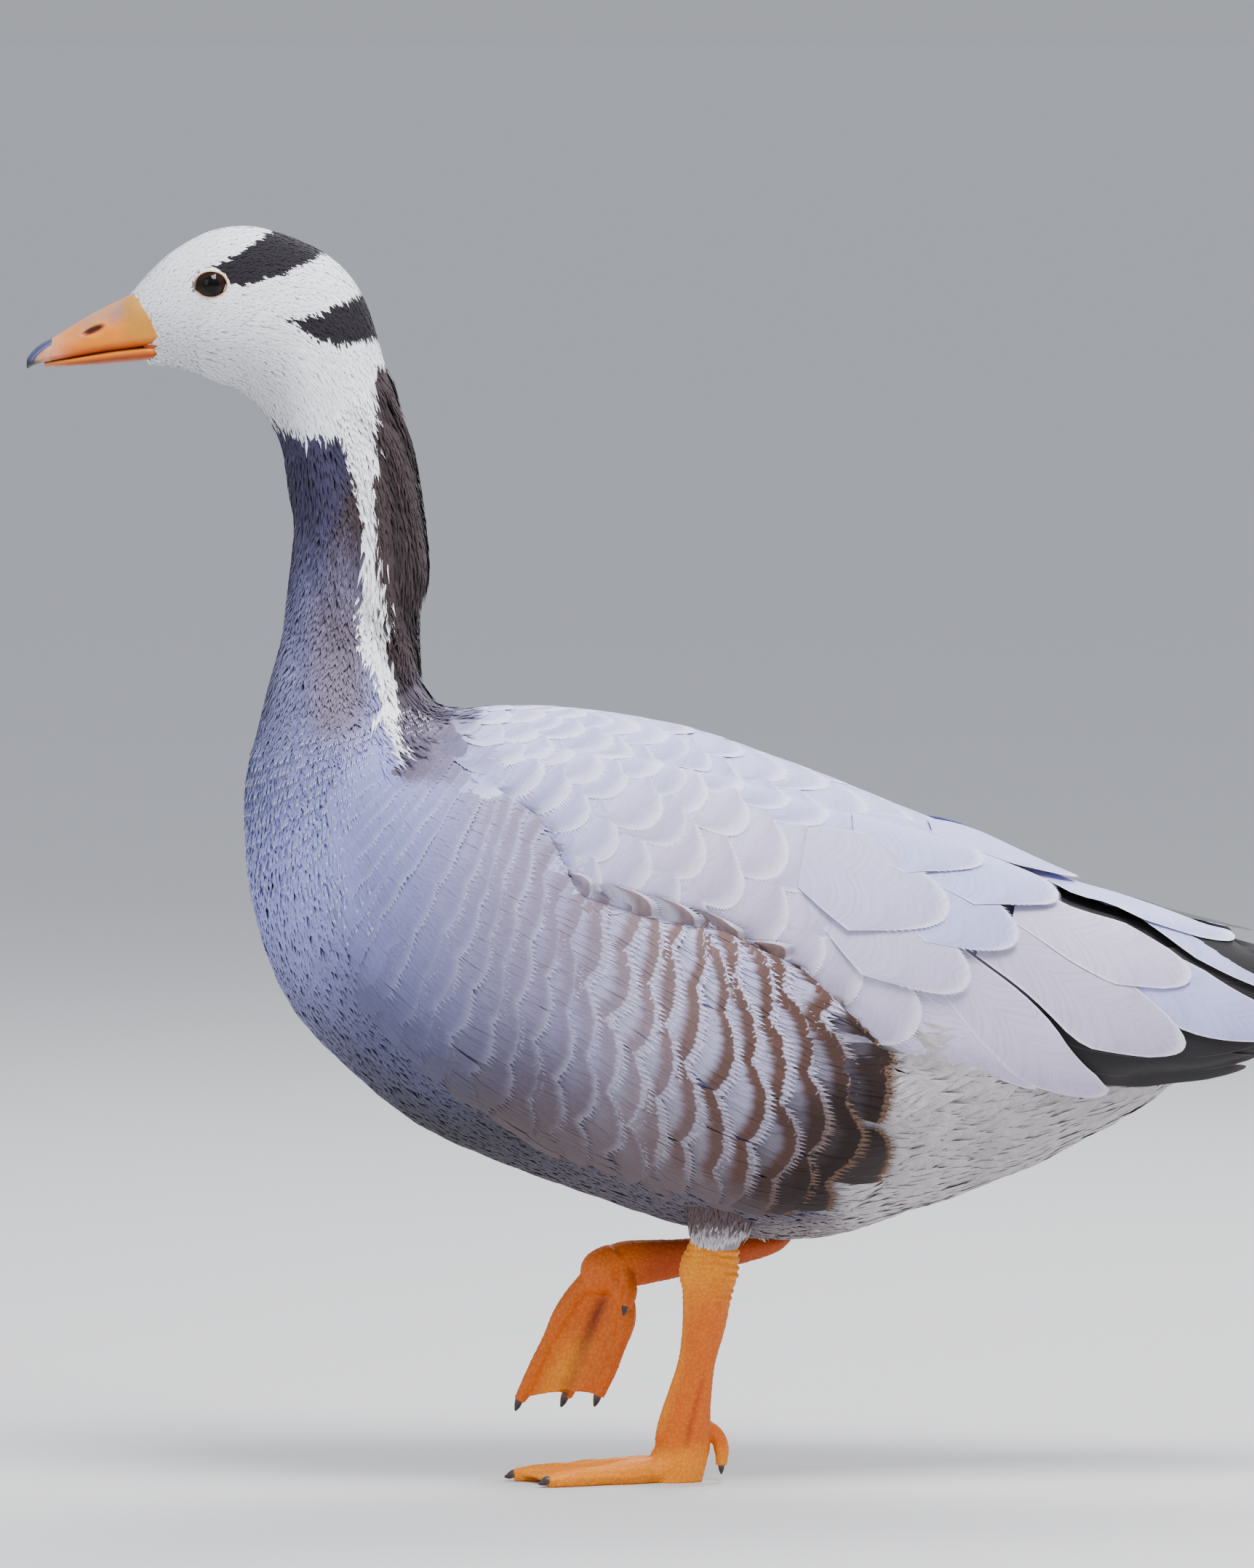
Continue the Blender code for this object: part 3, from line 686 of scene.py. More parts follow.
def leg_material():
    """Orange scaly skin: paler scales, with painted shade making the grooves between them deeper
    orange.
    """
    made, g, shader = new_material("leg_skin", {"Roughness": 0.42, "Specular IOR Level": 0.35})
    scale, grain = g.attribute("scale", "Fac"), g.group(skin_grain, {"Size": 1100.0})
    # Painted shade: the tint is deeper orange in the grooves between the raised scales.
    groove_shaded = g.shade(g.remap(scale, 0.0, 0.7), g.attribute("tint"), (0.9, 0.74, 0.6))
    g.feed(shader, {"Base Color": g.shade(grain["Shade"], groove_shaded, (0.9, 0.84, 0.8)),
                    "Normal": g.bump(grain["Height"], 0.4, 0.00025),
                    "Roughness": g.remap(scale, 0.0, 1.0, 0.6, 0.38)})
    return made


def eye_material():
    """A black pupil in a dark brown iris, under a clear wet cornea."""
    made, g, shader = new_material("eye", {
        "Roughness": 0.05, "Specular IOR Level": 0.0, "Coat Weight": 1.0,
        "Coat Roughness": 0.02, "Coat IOR": 1.28})
    ring = g.attribute("ring", "Fac")
    pupil, iris, rim = (0.002, 0.0016, 0.0016), (0.014, 0.006, 0.004), (0.006, 0.004, 0.003)
    tint = g.mix(g.remap(ring, 3.2, 3.5), pupil, iris)
    g.feed(shader, {"Base Color": g.mix(g.remap(ring, 5.2, 6.2), tint, rim)})
    return made


def finish(g, geometry, material, result):
    """Ends a geometry group: real meshes, then their material."""
    real = g.add("GeometryNodeRealizeInstances", {0: geometry})
    g.feed(result, {0: g.add("GeometryNodeSetMaterial", {"Geometry": real,
                                                         "Material": material})})


# How far inside the plan's edges a feather is held, as a share of its side.
PLAN_MARGIN = 0.0005


def lay_tree():
    """Geometry Nodes: a feather on each root, laid on the plan and then on the body."""
    tree, g, given, result = new_group(
        "lay feathers", "Geometry",
        {"Roots": ("Geometry", None), "Feather": ("Object", None),
         "Body Plan": ("Object", None), "Vane": ("Material", None),
         "Ruffle": ("Float", 0.1), "Seed": ("Int", SEED)}, {"Coat": ("Geometry", None)})

    def named(name, kind="FLOAT_VECTOR"):
        return g.add("GeometryNodeInputNamedAttribute", {"Name": name}, "Attribute",
                     data_type=kind)

    def shape(obj):
        return g.add("GeometryNodeObjectInfo", {"Object": obj}, "Geometry")

    ruffle = g.add("FunctionNodeRandomValue", {2: -1.0, 3: 1.0, "Seed": given["Seed"]}, 1,
                   data_type="FLOAT")
    swing = g.maths("MULTIPLY_ADD", ruffle, given["Ruffle"], named("turn", "FLOAT"))
    turn = g.add("FunctionNodeEulerToRotation",
                 {0: g.add("ShaderNodeCombineXYZ", {"Z": swing})})
    loose = g.add("GeometryNodeInstanceOnPoints", {
        "Points": given["Roots"], "Instance": shape(given["Feather"]), "Rotation": turn,
        "Scale": named("size")})
    real = g.add("GeometryNodeRealizeInstances", {0: loose})
    position = g.add("GeometryNodeInputPosition", {})
    root = named("root")
    offset = g.vector("MULTIPLY", g.vector("SUBTRACT", position, root), named("metric"))
    flat = g.vector("ADD", g.vector("ADD", root, named("raise")), offset)
    low, high = PLAN_MARGIN, 1 - PLAN_MARGIN
    within = g.vector("MAXIMUM", g.vector("MINIMUM", flat, (high, high, 1)), (low, low, -1))
    plan = shape(given["Body Plan"])

    def on_body(value):
        return g.add("GeometryNodeSampleUVSurface", {
            "Mesh": plan, "Value": value, "Source UV Map": named("plan"),
            "Sample UV": within}, "Value", data_type="FLOAT_VECTOR")

    up = g.vector("SCALE", on_body(named("out")), g.split(flat)["Z"])
    moved = g.add("GeometryNodeSetPosition", {
        "Geometry": real, "Position": g.vector("ADD", on_body(position), up)})
    finish(g, moved, given["Vane"], result)
    return tree


def scaly_tree():
    """Geometry Nodes: cells raised on bare skin, smaller or larger by name."""
    tree, g, given, result = new_group(
        "scaly skin", "Geometry",
        {"Skin": ("Geometry", None), "Cells": ("Float", 500), "Height": ("Float", 2e-4),
         "Finish": ("Material", None)}, {"Scales": ("Geometry", None)})
    place = g.add("GeometryNodeInputPosition", {})
    raised = g.remap(g.cells(place, given["Cells"]), 0.02, 0.28)
    marked = g.add("GeometryNodeStoreNamedAttribute", {
        "Geometry": given["Skin"], "Name": "scale", "Value": raised},
        data_type="FLOAT", domain="POINT")
    offset = g.vector("SCALE", g.add("GeometryNodeInputNormal", {}),
                      g.times(raised, given["Height"]))
    moved = g.add("GeometryNodeSetPosition", {"Geometry": marked, "Offset": offset})
    finish(g, moved, given["Finish"], result)
    return tree


# ---- feathers

def feather(name, columns, rows, widths, blunt, camber, teeth=0, tooth=0.0, side=1.0,
            droop=0.0):
    """A feather of unit length and width along +X, rising to z = 1 at its tip.

    widths is the vane's width at the root, middle and tip; blunt is how far the tip's sides
    fall back; teeth is a comb of free barbs on the tip, each tooth long; side is how fast the
    rim's colour leaves the long edges; droop is how far the tip bends back down."""
    root, middle, tip = widths
    us = np.linspace(-1, 1, columns + 1)
    vs = 1 - (1 - np.linspace(0, 1, rows + 1)) ** 1.3
    width = np.interp(vs, [0, 0.3, 0.65, 1], [root, (root + middle) / 2, middle, tip])
    points, rims, uvs = [], [], []

    def end(u):
        return 1 - blunt * abs(u) ** 2.4

    def add(u, v, place, free=False):
        points.append(place)
        rims.append((-1 if free else min((1.001 - abs(u)) * side, (1 - v) * 1.4), v, u))
        uvs.append((0.5 + u / 2, v))
        return len(points) - 1

    def spot(u, v, w, reach):
        rise = 1 - (1 - v) ** 2.3 - droop * max(0.0, (v - 0.8) / 0.2) ** 2
        return v * reach, 0.5 * u * w, rise - camber * (u * w) ** 2 * (0.3 + 0.7 * v)

    index = [[add(u, v, spot(u, v, w, end(u))) for u in us] for v, w in zip(vs, width)]
    faces = [(index[i][j], index[i + 1][j], index[i + 1][j + 1], index[i][j + 1])
             for i in range(rows) for j in range(columns)]
    for k in range(teeth):
        u, half = -0.96 + 1.92 * (k + 0.5) / teeth, 0.48 / teeth
        foot = [add(edge, 0.97, spot(edge, 0.97, tip, end(u)), True)
                for edge in (u - half, u + half)]
        x, y, z = spot(u, 1.0, tip, end(u))
        spread = 1 + 0.35 * math.sin(12.9 * k + 4)
        x += tooth * spread * (1 - 0.3 * abs(u))
        y += tooth * (0.5 * u + 0.3 * math.sin(5.3 * k))
        point = add(u, 1.0, (x, y, z + 0.1 + 0.06 * math.sin(7.7 * k)), True)
        faces.append((foot[0], point, foot[1]))
    mesh = bpy.data.meshes.new(name)
    mesh.from_pydata(points, [], faces)
    put_attribute(mesh, "rim", rims)
    put_uv(mesh, "vane", uvs)
    mesh.shade_smooth()
    return new_object(name, mesh)


# How far the plan overlaps itself, as a share of the way round, and the smallest scale in mm
# that is read off it.
PAD_V = 0.3
LEAST_SCALE = 0.3


class Plan:
    """A surface unrolled to 0..1 in both directions, with an overlap where it closes and a
    straight run-out past each end."""

    def __init__(self, name, surface, along, across, before=0.35, after=0.35):
        self.surface = surface
        self.t0, self.t1 = surface.span[0] - before, surface.span[1] + after
        t, v = np.meshgrid(np.linspace(self.t0, self.t1, along),
                           np.linspace(-PAD_V, 1 + PAD_V, across), indexing="ij")
        a = v * 2 * math.pi - math.pi / 2
        mesh = grid_mesh(name, self.point(t, a), closed=False)
        t, a = t.ravel(), a.ravel()
        put_attribute(mesh, "out", self.axes(t, a)[2])
        put_uv(mesh, "plan", np.stack(self.plan(t, a), -1))
        self.helper = new_object(name, mesh)
        self.finder = None

    def point(self, t, a, lift=0.0):
        """The place of (t, a) in mm, with a straight run-out past the surface's ends."""
        first, last = self.surface.span
        t = np.asarray(t, float)
        inside = np.clip(t, first, last)
        p = self.surface.point(inside, a, lift)
        past = (t - inside)[..., None]
        if not np.any(past):
            return p
        e = 0.1

        def run(start, end, a, lift=0.0):
            return (self.surface.point(end, a, lift) - self.surface.point(start, a, lift)) / e

        straight = run(last - e, last, turns(24)).mean(axis=0)
        ahead = straight + 0.35 * (run(last - e, last, a, lift) - straight)
        return p + np.where(past > 0, ahead, run(first, first + e, a, lift)) * past

    def plan(self, t, a):
        """Where on the plan (t, a) is."""
        u = (t - self.t0) / (self.t1 - self.t0)
        v = (a + math.pi / 2) / (2 * math.pi)
        return u, (v + PAD_V) / (1 + 2 * PAD_V)

    def axes(self, t, a):
        """mm per unit of t and of a, as vectors, and the outward normal."""
        e = 0.02
        along = (self.point(t + e, a) - self.point(t - e, a)) / (2 * e)
        across = (self.point(t, a + e) - self.point(t, a - e)) / (2 * e)
        out = np.cross(along, across)
        return along, across, out / np.maximum(norm(out), 1e-9)[..., None]

    def along(self, t, a):
        """mm per unit of t."""
        return norm(self.axes(t, a)[0])

    def metric(self, t, a):
        """Units of the plan per mm, along the body and across it."""
        along, across, _ = self.axes(t, a)
        across, along = (np.maximum(norm(axis), LEAST_SCALE) for axis in (across, along))
        return (1 / (along * (self.t1 - self.t0)),
                1 / (across * 2 * math.pi * (1 + 2 * PAD_V)))

    def find(self, x, z):
        """(t, a) of the place that shows at (x, z) from the left."""
        if self.finder is None:
            t, a = np.meshgrid(np.linspace(self.t0, self.t1, 500),
                               np.linspace(-1.5, 1.5, 240), indexing="ij")
            self.finder = t.ravel(), a.ravel(), self.point(t, a).reshape(-1, 3)
        t, a, p = self.finder
        best = np.argmin((p[:, 0] - x) ** 2 + (p[:, 2] - z) ** 2)
        return t[best], a[best]


# Each feather's own patch of the baked map, as a share of the map's side.
BAKE_PATCH = 0.003


def lay(name, plan, template, roots, material, slot="plumage_grey", ruffle=0.1, nodes=()):
    """Feathers of one tract as a piece. roots is a dict of arrays, one entry each, and ruffle
    is how far each feather may turn by chance, in radians."""
    t, a = roots["t"], roots["a"]
    count = len(t)
    flat = np.zeros(count)
    u, v = plan.plan(t, a)
    du, dv = plan.metric(roots.get("metric_t", t), roots.get("metric_a", a))
    margin = 2 * BAKE_PATCH
    bake = [margin + (1 - 2 * margin) * (w - w.min()) / max(np.ptp(w), 1e-6) for w in (u, v)]
    values = {"root": (u, v, flat), "raise": (flat, flat, flat + roots.get("raise", 0.0) * MM),
              "metric": (du, dv, flat + MM), "bake": (*bake, flat),
              "size": (roots["length"], roots["width"], roots["lift"])}
    mesh = bpy.data.meshes.new(name)
    mesh.from_pydata(np.stack(values["root"], -1).tolist(), [], [])
    for key, value in values.items():
        put_attribute(mesh, key, np.stack(value, -1))
    for key in ("turn", "tint", "edge", "band", "marks"):
        put_attribute(mesh, key, roots[key])
    coat = run_nodes(new_object(name + "_roots", mesh), lay_feathers, name, material,
                     {"Feather": template, "Body Plan": plan.helper, "Vane": material,
                      "Ruffle": ruffle})
    mesh = coat.data
    patch = read(mesh.attributes["bake"].data, "vector", 3, np.float32)[:, :2]
    vane = read(mesh.uv_layers["vane"].data, "uv", 2, np.float32)
    put_uv(mesh, "OFBake", patch, (vane - 0.5) * BAKE_PATCH)
    for key in (*values, "turn"):
        mesh.attributes.remove(mesh.attributes[key])
    mesh.shade_smooth()
    piece(coat, slot, *nodes)


def lengths(points, unit=1.0):
    """How far along a line each of its points is."""
    return np.concatenate([[0], np.cumsum(norm(np.diff(points, axis=0)) / unit)])


def joined(found):
    """Each list of arrays in the dict as one array."""
    return {key: np.concatenate(value) for key, value in found.items()}


# Places looked at on the way round a section, and how often its rows may be halved.
ROUND_SAMPLES = 193
MOST_HALVINGS = 4


def rows_of(plan, t0, t1, pitch, spread=1.0, jitter=0.15):
    """Staggered rows of roots. pitch is the wanted distance from row to row in mm, a number or
    a function of t, and spread the distance between neighbours in a row, in pitches.
    Where the rows come closer together than that, every second one is left out, and so on."""
    around = np.linspace(-math.pi / 2, 1.5 * math.pi, ROUND_SAMPLES)
    found = {"t": [], "a": [], "reach": []}
    t, n = t0, 0
    while t < t1:
        ts = np.full(len(around), t)
        along = plan.along(ts, around)
        wanted = pitch(t) if callable(pitch) else pitch
        dt = float(np.min(wanted / np.maximum(along, LEAST_SCALE)))
        level = np.clip(np.round(np.log2(wanted / (along * dt))), 0, MOST_HALVINGS)
        level = level.astype(int)
        length = lengths(plan.point(ts, around), wanted)
        for k in range(MOST_HALVINGS + 1):
            if n % 2 ** k or not np.any(level == k):
                continue
            count = max(int(round(length[-1] / spread)), 1)
            phase = 0.5 * ((n >> k) & 1) + 0.25 + 0.12 * math.sin(1.7 * (n >> k))
            s = (np.arange(count) + phase) / count * length[-1]
            s = s + rng.normal(0, jitter * spread, count)
            a = np.interp(s % length[-1], length, around)
            here = np.interp(a, around, level)
            a = a[(here > k - 0.5) & (here <= k + 0.5)]
            found["a"].append(a)
            found["t"].append(t + rng.normal(0, jitter * dt * 2 ** k, len(a)))
            found["reach"].append(np.interp(a, around, along) * dt * 2 ** k)
        t, n = t + dt, n + 1
    return joined(found)


def row_starts(plan, first, last, pitch, level):
    """t of rows that are pitch(t) mm apart where they cross the given level."""
    rows = [first]
    while rows[-1] < last:
        along = plan.along(np.array([rows[-1]]), np.array([level]))[0]
        rows.append(rows[-1] + float(pitch(rows[-1])) / along)
    return rows


def tips_on_rows(plan, rows, levels, bend, spacing, scallop, jitter=0.25, shift=0.0):
    """Tips that stand side by side on each row of both sides. bend(t, level) curves the rows,
    spacing and scallop(t) are in mm, and c tells where on its scallop a tip is, -1 to 1."""
    found = {key: [] for key in ("t", "level", "gap", "c", "side")}
    level = np.linspace(*levels, 260)
    for n, (t, following) in enumerate(zip(rows, rows[1:])):
        here, after = t + bend(t, level), following + bend(following, level)
        path = lengths(plan.point(here, level))
        gap = (after - here) * plan.along(here, level)
        for side in (1.0, -1.0):
            count = int(path[-1] / spacing(t))
            at = np.arange(count) + 0.5 + rng.uniform(-jitter, jitter, count)
            at = (at + shift * (n % 2)) * spacing(t)
            phase = 0.5 * (n % 2) + rng.normal(0, 0.07)
            for key, values in (("t", here), ("level", level), ("gap", gap)):
                found[key].append(np.interp(at, path, values))
            found["c"].append(2 * ((at / scallop(t) + phase) % 1) - 1)
            found["side"].append(np.full(count, side))
    return joined(found)


def hang(plan, tips, length, turn):
    """Roots for feathers of this length and turn that end on the tips. turn is upward."""
    t, a = tips["t"], np.where(tips["side"] > 0, tips["level"], math.pi - tips["level"])
    along, across, _ = plan.axes(t, a)
    back = length * np.cos(turn) / np.maximum(norm(along), 1)
    turn = turn * tips["side"]
    down = length * np.sin(turn) / np.maximum(norm(across), 1)
    return {"t": t - back, "a": a - down, "metric_t": t - back / 2, "metric_a": a - down / 2,
            "length": length, "turn": turn}


def ahead_of(plan, roots, share):
    """x, y and z of the place that each feather covers at this share of its length."""
    along = np.maximum(plan.along(roots["t"], roots["a"]), 1)
    return plan.point(roots["t"] + share * roots["length"] / along, roots["a"]).T


def keep(roots, mask):
    """The roots or tips that the mask leaves."""
    return {key: value[mask] for key, value in roots.items()}


def places(plan, roots):
    return plan.surface.point(roots["t"], roots["a"]).T


def dress(roots, tint, edge, band, marks):
    """Gives every root its colours; each may be one colour or one for each root."""
    for key, value in (("tint", tint), ("edge", edge), ("band", band), ("marks", marks)):
        roots[key] = np.broadcast_to(np.asarray(value, float), (len(roots["t"]), 3)).copy()


def paler(tint, factor):
    """The tint times the factor, short of pure white."""
    return np.minimum(tint * factor, 0.95)


def vary(tint, amount):
    """The same tint, a little lighter or darker from feather to feather."""
    return tint * (1 + rng.normal(0, amount, len(tint)))[:, None]


barb_grain = barb_group()
lay_feathers = lay_tree()
fine_vane = feather_material("fine vane", 0.8, 0.06)
broad_vane = feather_material("broad vane", 0.62, 0.12)
down = down_material()

tuft = feather("tuft", 2, 3, (0.6, 1.0, 0.4), 0.3, 0.1)
lash = feather("lash", 2, 4, (0.5, 1.0, 0.2), 0.2, 0.16)
wisp = feather("wisp", 2, 4, (0.7, 1.0, 0.5), 0.3, 0.05, side=9999, droop=0.06)
lock = feather("lock", 2, 7, (0.8, 1.0, 0.9), 0.03, 0.0, teeth=2, tooth=0.12, side=9999,
               droop=0.12)
comb = feather("comb", 10, 8, (0.7, 1.0, 0.86), 0.42, 0.14, teeth=22, tooth=0.07, side=5,
               droop=0.1)
fringe_lock = feather("fringe_lock", 2, 3, (0.6, 1.0, 0.95), 0.1, 0.0, teeth=2, tooth=0.8,
                      side=9999)
crescent = feather("crescent", 12, 9, (0.6, 1.0, 0.86), 0.46, 0.22, teeth=30, tooth=0.06,
                   side=6, droop=0.1)
rounded = feather("rounded", 14, 9, (0.6, 1.0, 0.84), 0.44, 0.16, teeth=36, tooth=0.025,
                  side=5, droop=0.08)
quill = feather("quill", 8, 14, (0.6, 1.0, 0.66), 0.16, 0.35, side=1.2)
templates = [tuft, lash, wisp, lock, comb, fringe_lock, crescent, rounded, quill]

body_plan = Plan("body_plan", BodySurface(), 460, 280, after=3.5)
wing_plan = Plan("wing_plan", WingSurface(), 280, 280, after=2.5)


# ---- the skin

def build_skin():
    """One closed skin from the bill to the tail, coloured as the plumage over it."""
    ts = np.concatenate([np.linspace(0, NAPE, 90), np.linspace(NAPE, NECK_ROOT, 70)[1:],
                         np.linspace(NECK_ROOT, body.last, 170)[1:]])
    t, a = np.meshgrid(ts, turns(128, -math.pi / 2), indexing="ij")
    points = BodySurface().point(t, a)
    t = t.ravel()
    tint = plumage(*points.reshape(-1, 3).T, t) * (0.8 + 0.18 * step(11, 8, t))[:, None]
    shell("skin", points, tint, down, "plumage_grey", "head", "neck_upper", "neck_lower",
          "trunk", "flank_left", "flank_right")


build_skin()


# ---- where each tract lies

# The line where feathers end at the bill's base, as (z, x), down to the corner of the mouth.
BILL_EDGE_Z = [455.0, 463.4, 464.2, 465.9, 467.8, 469.2, 470.2, 471.4, 472.8, 474.4, 479.8,
               485.5, 488.0, 489.0, 489.8, 490.4]
BILL_EDGE_X = [-222.0, -214.0, -208.4, -208.0, -207.0, -204.2, -203.9, -206.0, -212.2, -214.2,
               -215.0, -212.8, -211.6, -211.8, -215.0, -222.0]


def bill_edge(z):
    """x of that line at the height z."""
    return np.interp(z, BILL_EDGE_Z, BILL_EDGE_X)


def back_edge(t):
    """The level on the side where the feathers of the back and wing begin."""
    t = np.asarray(t, float)
    front = np.interp(t, [18.9, 19.6, 21.0, 22.0, SHOULDER + 0.9], [1.6, 1.2, 0.85, 0.7, 0.647])
    return np.where(t < SHOULDER + 0.9, front, np.interp(t, wing_ts, wing_low_a))


def row_share(t, level):
    """1 where the feathers stand in upright rows: the sides of the breast and the flanks."""
    flank = flank_ts > SHOULDER + 1
    low = np.interp(t, [18, 20, 22.5, *flank_ts[flank]],
                    [0.35, -0.3, -0.6, *(flank_low_a[flank] + 0.05)])
    return step(-0.1, 0.5, level - low) * step(18.2, 20.2, t) * step(30.8, 30.7, t)


def flank_end(z):
    """x of the flank's rear edge at the height z."""
    return np.interp(z, [103, 107, 116, 127, 141, 148, 165, 186, 196, 208, 218, 226],
                     [58, 71, 82, 91, 100, 103, 101, 96, 91, 84, 75, 55])


# ---- head and neck

def eye_clearance(x, z, length):
    """Positive for tufts that stay off the eye and its lids."""
    ahead = np.hypot((x + 0.5 * length - EYE[0]) / (EYE_HALF[0] + 0.9 + 0.5 * length),
                     (z - EYE[1]) / (EYE_HALF[1] + 1.2))
    return ahead - 1


def coat_head():
    """Short velvety tufts, clear of the eye and of the bill's base."""
    roots = rows_of(body_plan, -0.3, 9.6, lambda t: np.interp(t, [0, 3, 9], [1.15, 1.3, 1.6]),
                    0.85, 0.3)
    x, _, z = places(body_plan, roots)
    t, count = roots["t"], len(roots["t"])
    length = roots["reach"] * np.interp(t, [0, 1, 3, 6, 9], [2.2, 2.8, 3.8, 4.6, 4.8])
    length *= rng.uniform(0.85, 1.2, count)
    roots.update(length=length, width=np.interp(t, [0, 3, 9], [1.45, 1.9, 2.2]),
                 lift=np.interp(t, [0, 3, 9], [0.55, 0.75, 1.4]) * rng.uniform(0.92, 1.08, count),
                 turn=rng.normal(0, 0.09, count))
    ragged = rng.normal(0, 0.9, count)
    tint = vary(plumage(*ahead_of(body_plan, roots, 0.6), t, ragged), 0.03)
    dress(roots, tint, tint * 1.02, tint, (0.4, 0, 6))
    roots = keep(roots, (eye_clearance(x, z, length) > 0) & (x > bill_edge(z) + 0.1))
    lay("coat_head", body_plan, tuft, roots, fine_vane, "plumage_white")


def coat_neck():
    """Narrow feathers in furrows that run down the neck, deepest behind."""
    roots = rows_of(body_plan, 9.3, 20.4, 1.75, 0.85, 0.3)
    roots = keep(roots, rng.random(len(roots["t"])) < 1 - 0.97 * step(17.3, 20.4, roots["t"]))
    x, _, z = places(body_plan, roots)
    t, count = roots["t"], len(roots["t"])
    back = step(-126, -112, x) * (z > 300)
    length = roots["reach"] * np.interp(t, [9, 13, 17.6], [4.4, 4.8, 4.2]) * (1 + 0.8 * back)
    length *= rng.uniform(0.85, 1.2, count)
    wave = roots["a"] * 9 + 0.09 * z
    furrow = np.sin(wave + 1.5 * np.sin(0.07 * z))
    roots.update(length=length, width=np.interp(t, [9, 17, 20], [1.5, 2.2, 2.6]),
                 lift=np.interp(t, [9, 17, 20], [2.1, 3.0, 3.9]) + back * 0.9
                 + 0.7 * furrow * (0.35 + 0.65 * back)
                 + 1.6 * bell(z, 388, 9) * step(-104, -100, x),
                 turn=rng.normal(0, 0.09, count) + 0.12 * np.cos(wave) * (0.4 + 0.6 * back))
    tint = plumage(*ahead_of(body_plan, roots, 0.6), t, rng.normal(0, 1.3, count))
    tint = vary(tint, 0.06)
    # Painted shade: feathers down in the furrows, where they lie lower, are darker, most of all
    # behind.
    tint *= (1 - (0.15 + 0.25 * back) * step(0.1, 0.9, -furrow))[:, None]
    dress(roots, tint, paler(tint, 1.12), tint, (0.35, 0, 7))
    lay("coat_neck", body_plan, lash, roots, fine_vane, "plumage_dark")


# ---- breast, flank and vent

# Where one coat ends and the next begins.
BELLY_T = 22
FLANK_T = 24.3
SCAPULAR_T = 25.6


def coat_breast():
    """Soft hair-like feathers on the breast and belly, softly mottled in front."""
    roots = rows_of(body_plan, 16.6, 33.0,
                    lambda t: np.interp(t, [17, 20, 33], [2.2, 2.6, 3.0]), 0.85, 0.3)
    roots = keep(roots, left_of(roots["a"]) < back_edge(roots["t"]) + 0.02)
    share = row_share(roots["t"], left_of(roots["a"]))
    roots = keep(roots, rng.random(len(share)) > 0.25 * step(0.35, 0.8, share))
    x, _, z = places(body_plan, roots)
    mask = (x < 70) | (z < 112) & (x < 76)
    roots, x, z = keep(roots, mask), x[mask], z[mask]
    t, count = roots["t"], len(roots["t"])
    share = row_share(t, left_of(roots["a"]))
    length = np.interp(t, [16.6, 18, 22, 33], [7, 8, 10, 12]) * rng.uniform(0.85, 1.15, count)
    along, around = 26 * t, 60 * roots["a"]
    rows = np.sin(0.5 * along + 1.2 * np.sin(0.11 * around))
    blotch = rows * np.sin(0.42 * around + 1.7 * np.sin(0.17 * along) + 0.3 * along)
    roots.update(length=length, width=np.interp(t, [17, 22], [3.5, 4.8]),
                 lift=np.interp(t, [17, 20, 24, 33], [2.9, 3.5, 4.0, 3.6])
                 + 0.15 * rows + rng.uniform(-0.08, 0.08, count) - 0.7 * step(0.3, 0.8, share),
                 turn=rng.normal(0, 0.09, count))
    tint = plumage(*ahead_of(body_plan, roots, 0.7), t, rng.normal(0, 1.5, count))
    # Painted light and shade: in front the raised rows are a little lighter and the dips between
    # them darker, and light paints the middle of the breast paler. mottled is the plumage's own
    # soft mottling.
    front = step(215, 235, z) * step(320, 300, z)
    mottled = step(0.15, 0.7, blotch) * step(150, 185, z) * (1 - front) * step(260, 240, z)
    light = step(185, 225, z) * step(300, 270, z)
    shade = 1 + 0.05 * rows * front - 0.1 * mottled + 0.12 * light
    tint = vary(tint * shade[:, None], 0.03)
    dress(roots, tint, paler(tint, 1.08), tint, (0.3, 0, 12))
    for name, mask in (("coat_breast", t < BELLY_T), ("coat_belly", t >= BELLY_T)):
        lay(name, body_plan, wisp, keep(roots, mask), fine_vane, ruffle=0.05)


def straight(t, level):
    return 0 * level


def coat_breast_fringes():
    """The pale free barbs of the upper breast, in level rows."""
    rows = row_starts(body_plan, 17.3, 22.6, lambda t: 4.8, -0.4)
    tips = tips_on_rows(body_plan, rows, (-1.5, 1.0), straight, lambda t: 2.1, lambda t: 9)
    t, level = tips["t"], tips["level"]
    x, _, z = body_plan.point(t, level).T
    there = step(17.2, 18.2, t) * step(236, 262, z + 0.3 * np.abs(x + 168))
    there *= step(0.9, 0.3, row_share(t, level))
    tips = keep(tips, (rng.random(len(t)) < 0.75 * there) & (level < back_edge(t) - 0.1))
    count = len(tips["t"])
    roots = hang(body_plan, tips, rng.uniform(2.2, 3.4, count),
                 -0.25 + rng.normal(0, 0.15, count))
    roots.update(width=np.full(count, 1.5), lift=rng.uniform(0.4, 0.9, count))
    roots["raise"] = np.interp(tips["t"], [17, 20, 24], [2.9, 3.6, 4.2])
    tint = plumage(*ahead_of(body_plan, roots, 0.6), roots["t"])
    dress(roots, tint, np.minimum(mix(tint, WHITE, 0.6), 0.9), tint, (0.04, 0, 6))
    lay("coat_breast_fringes", body_plan, fringe_lock, roots, fine_vane)


# mm from station to station on the flank, and the x of its rear edge at mid height.
FLANK_PITCH = 27
FLANK_REAR_X = 103


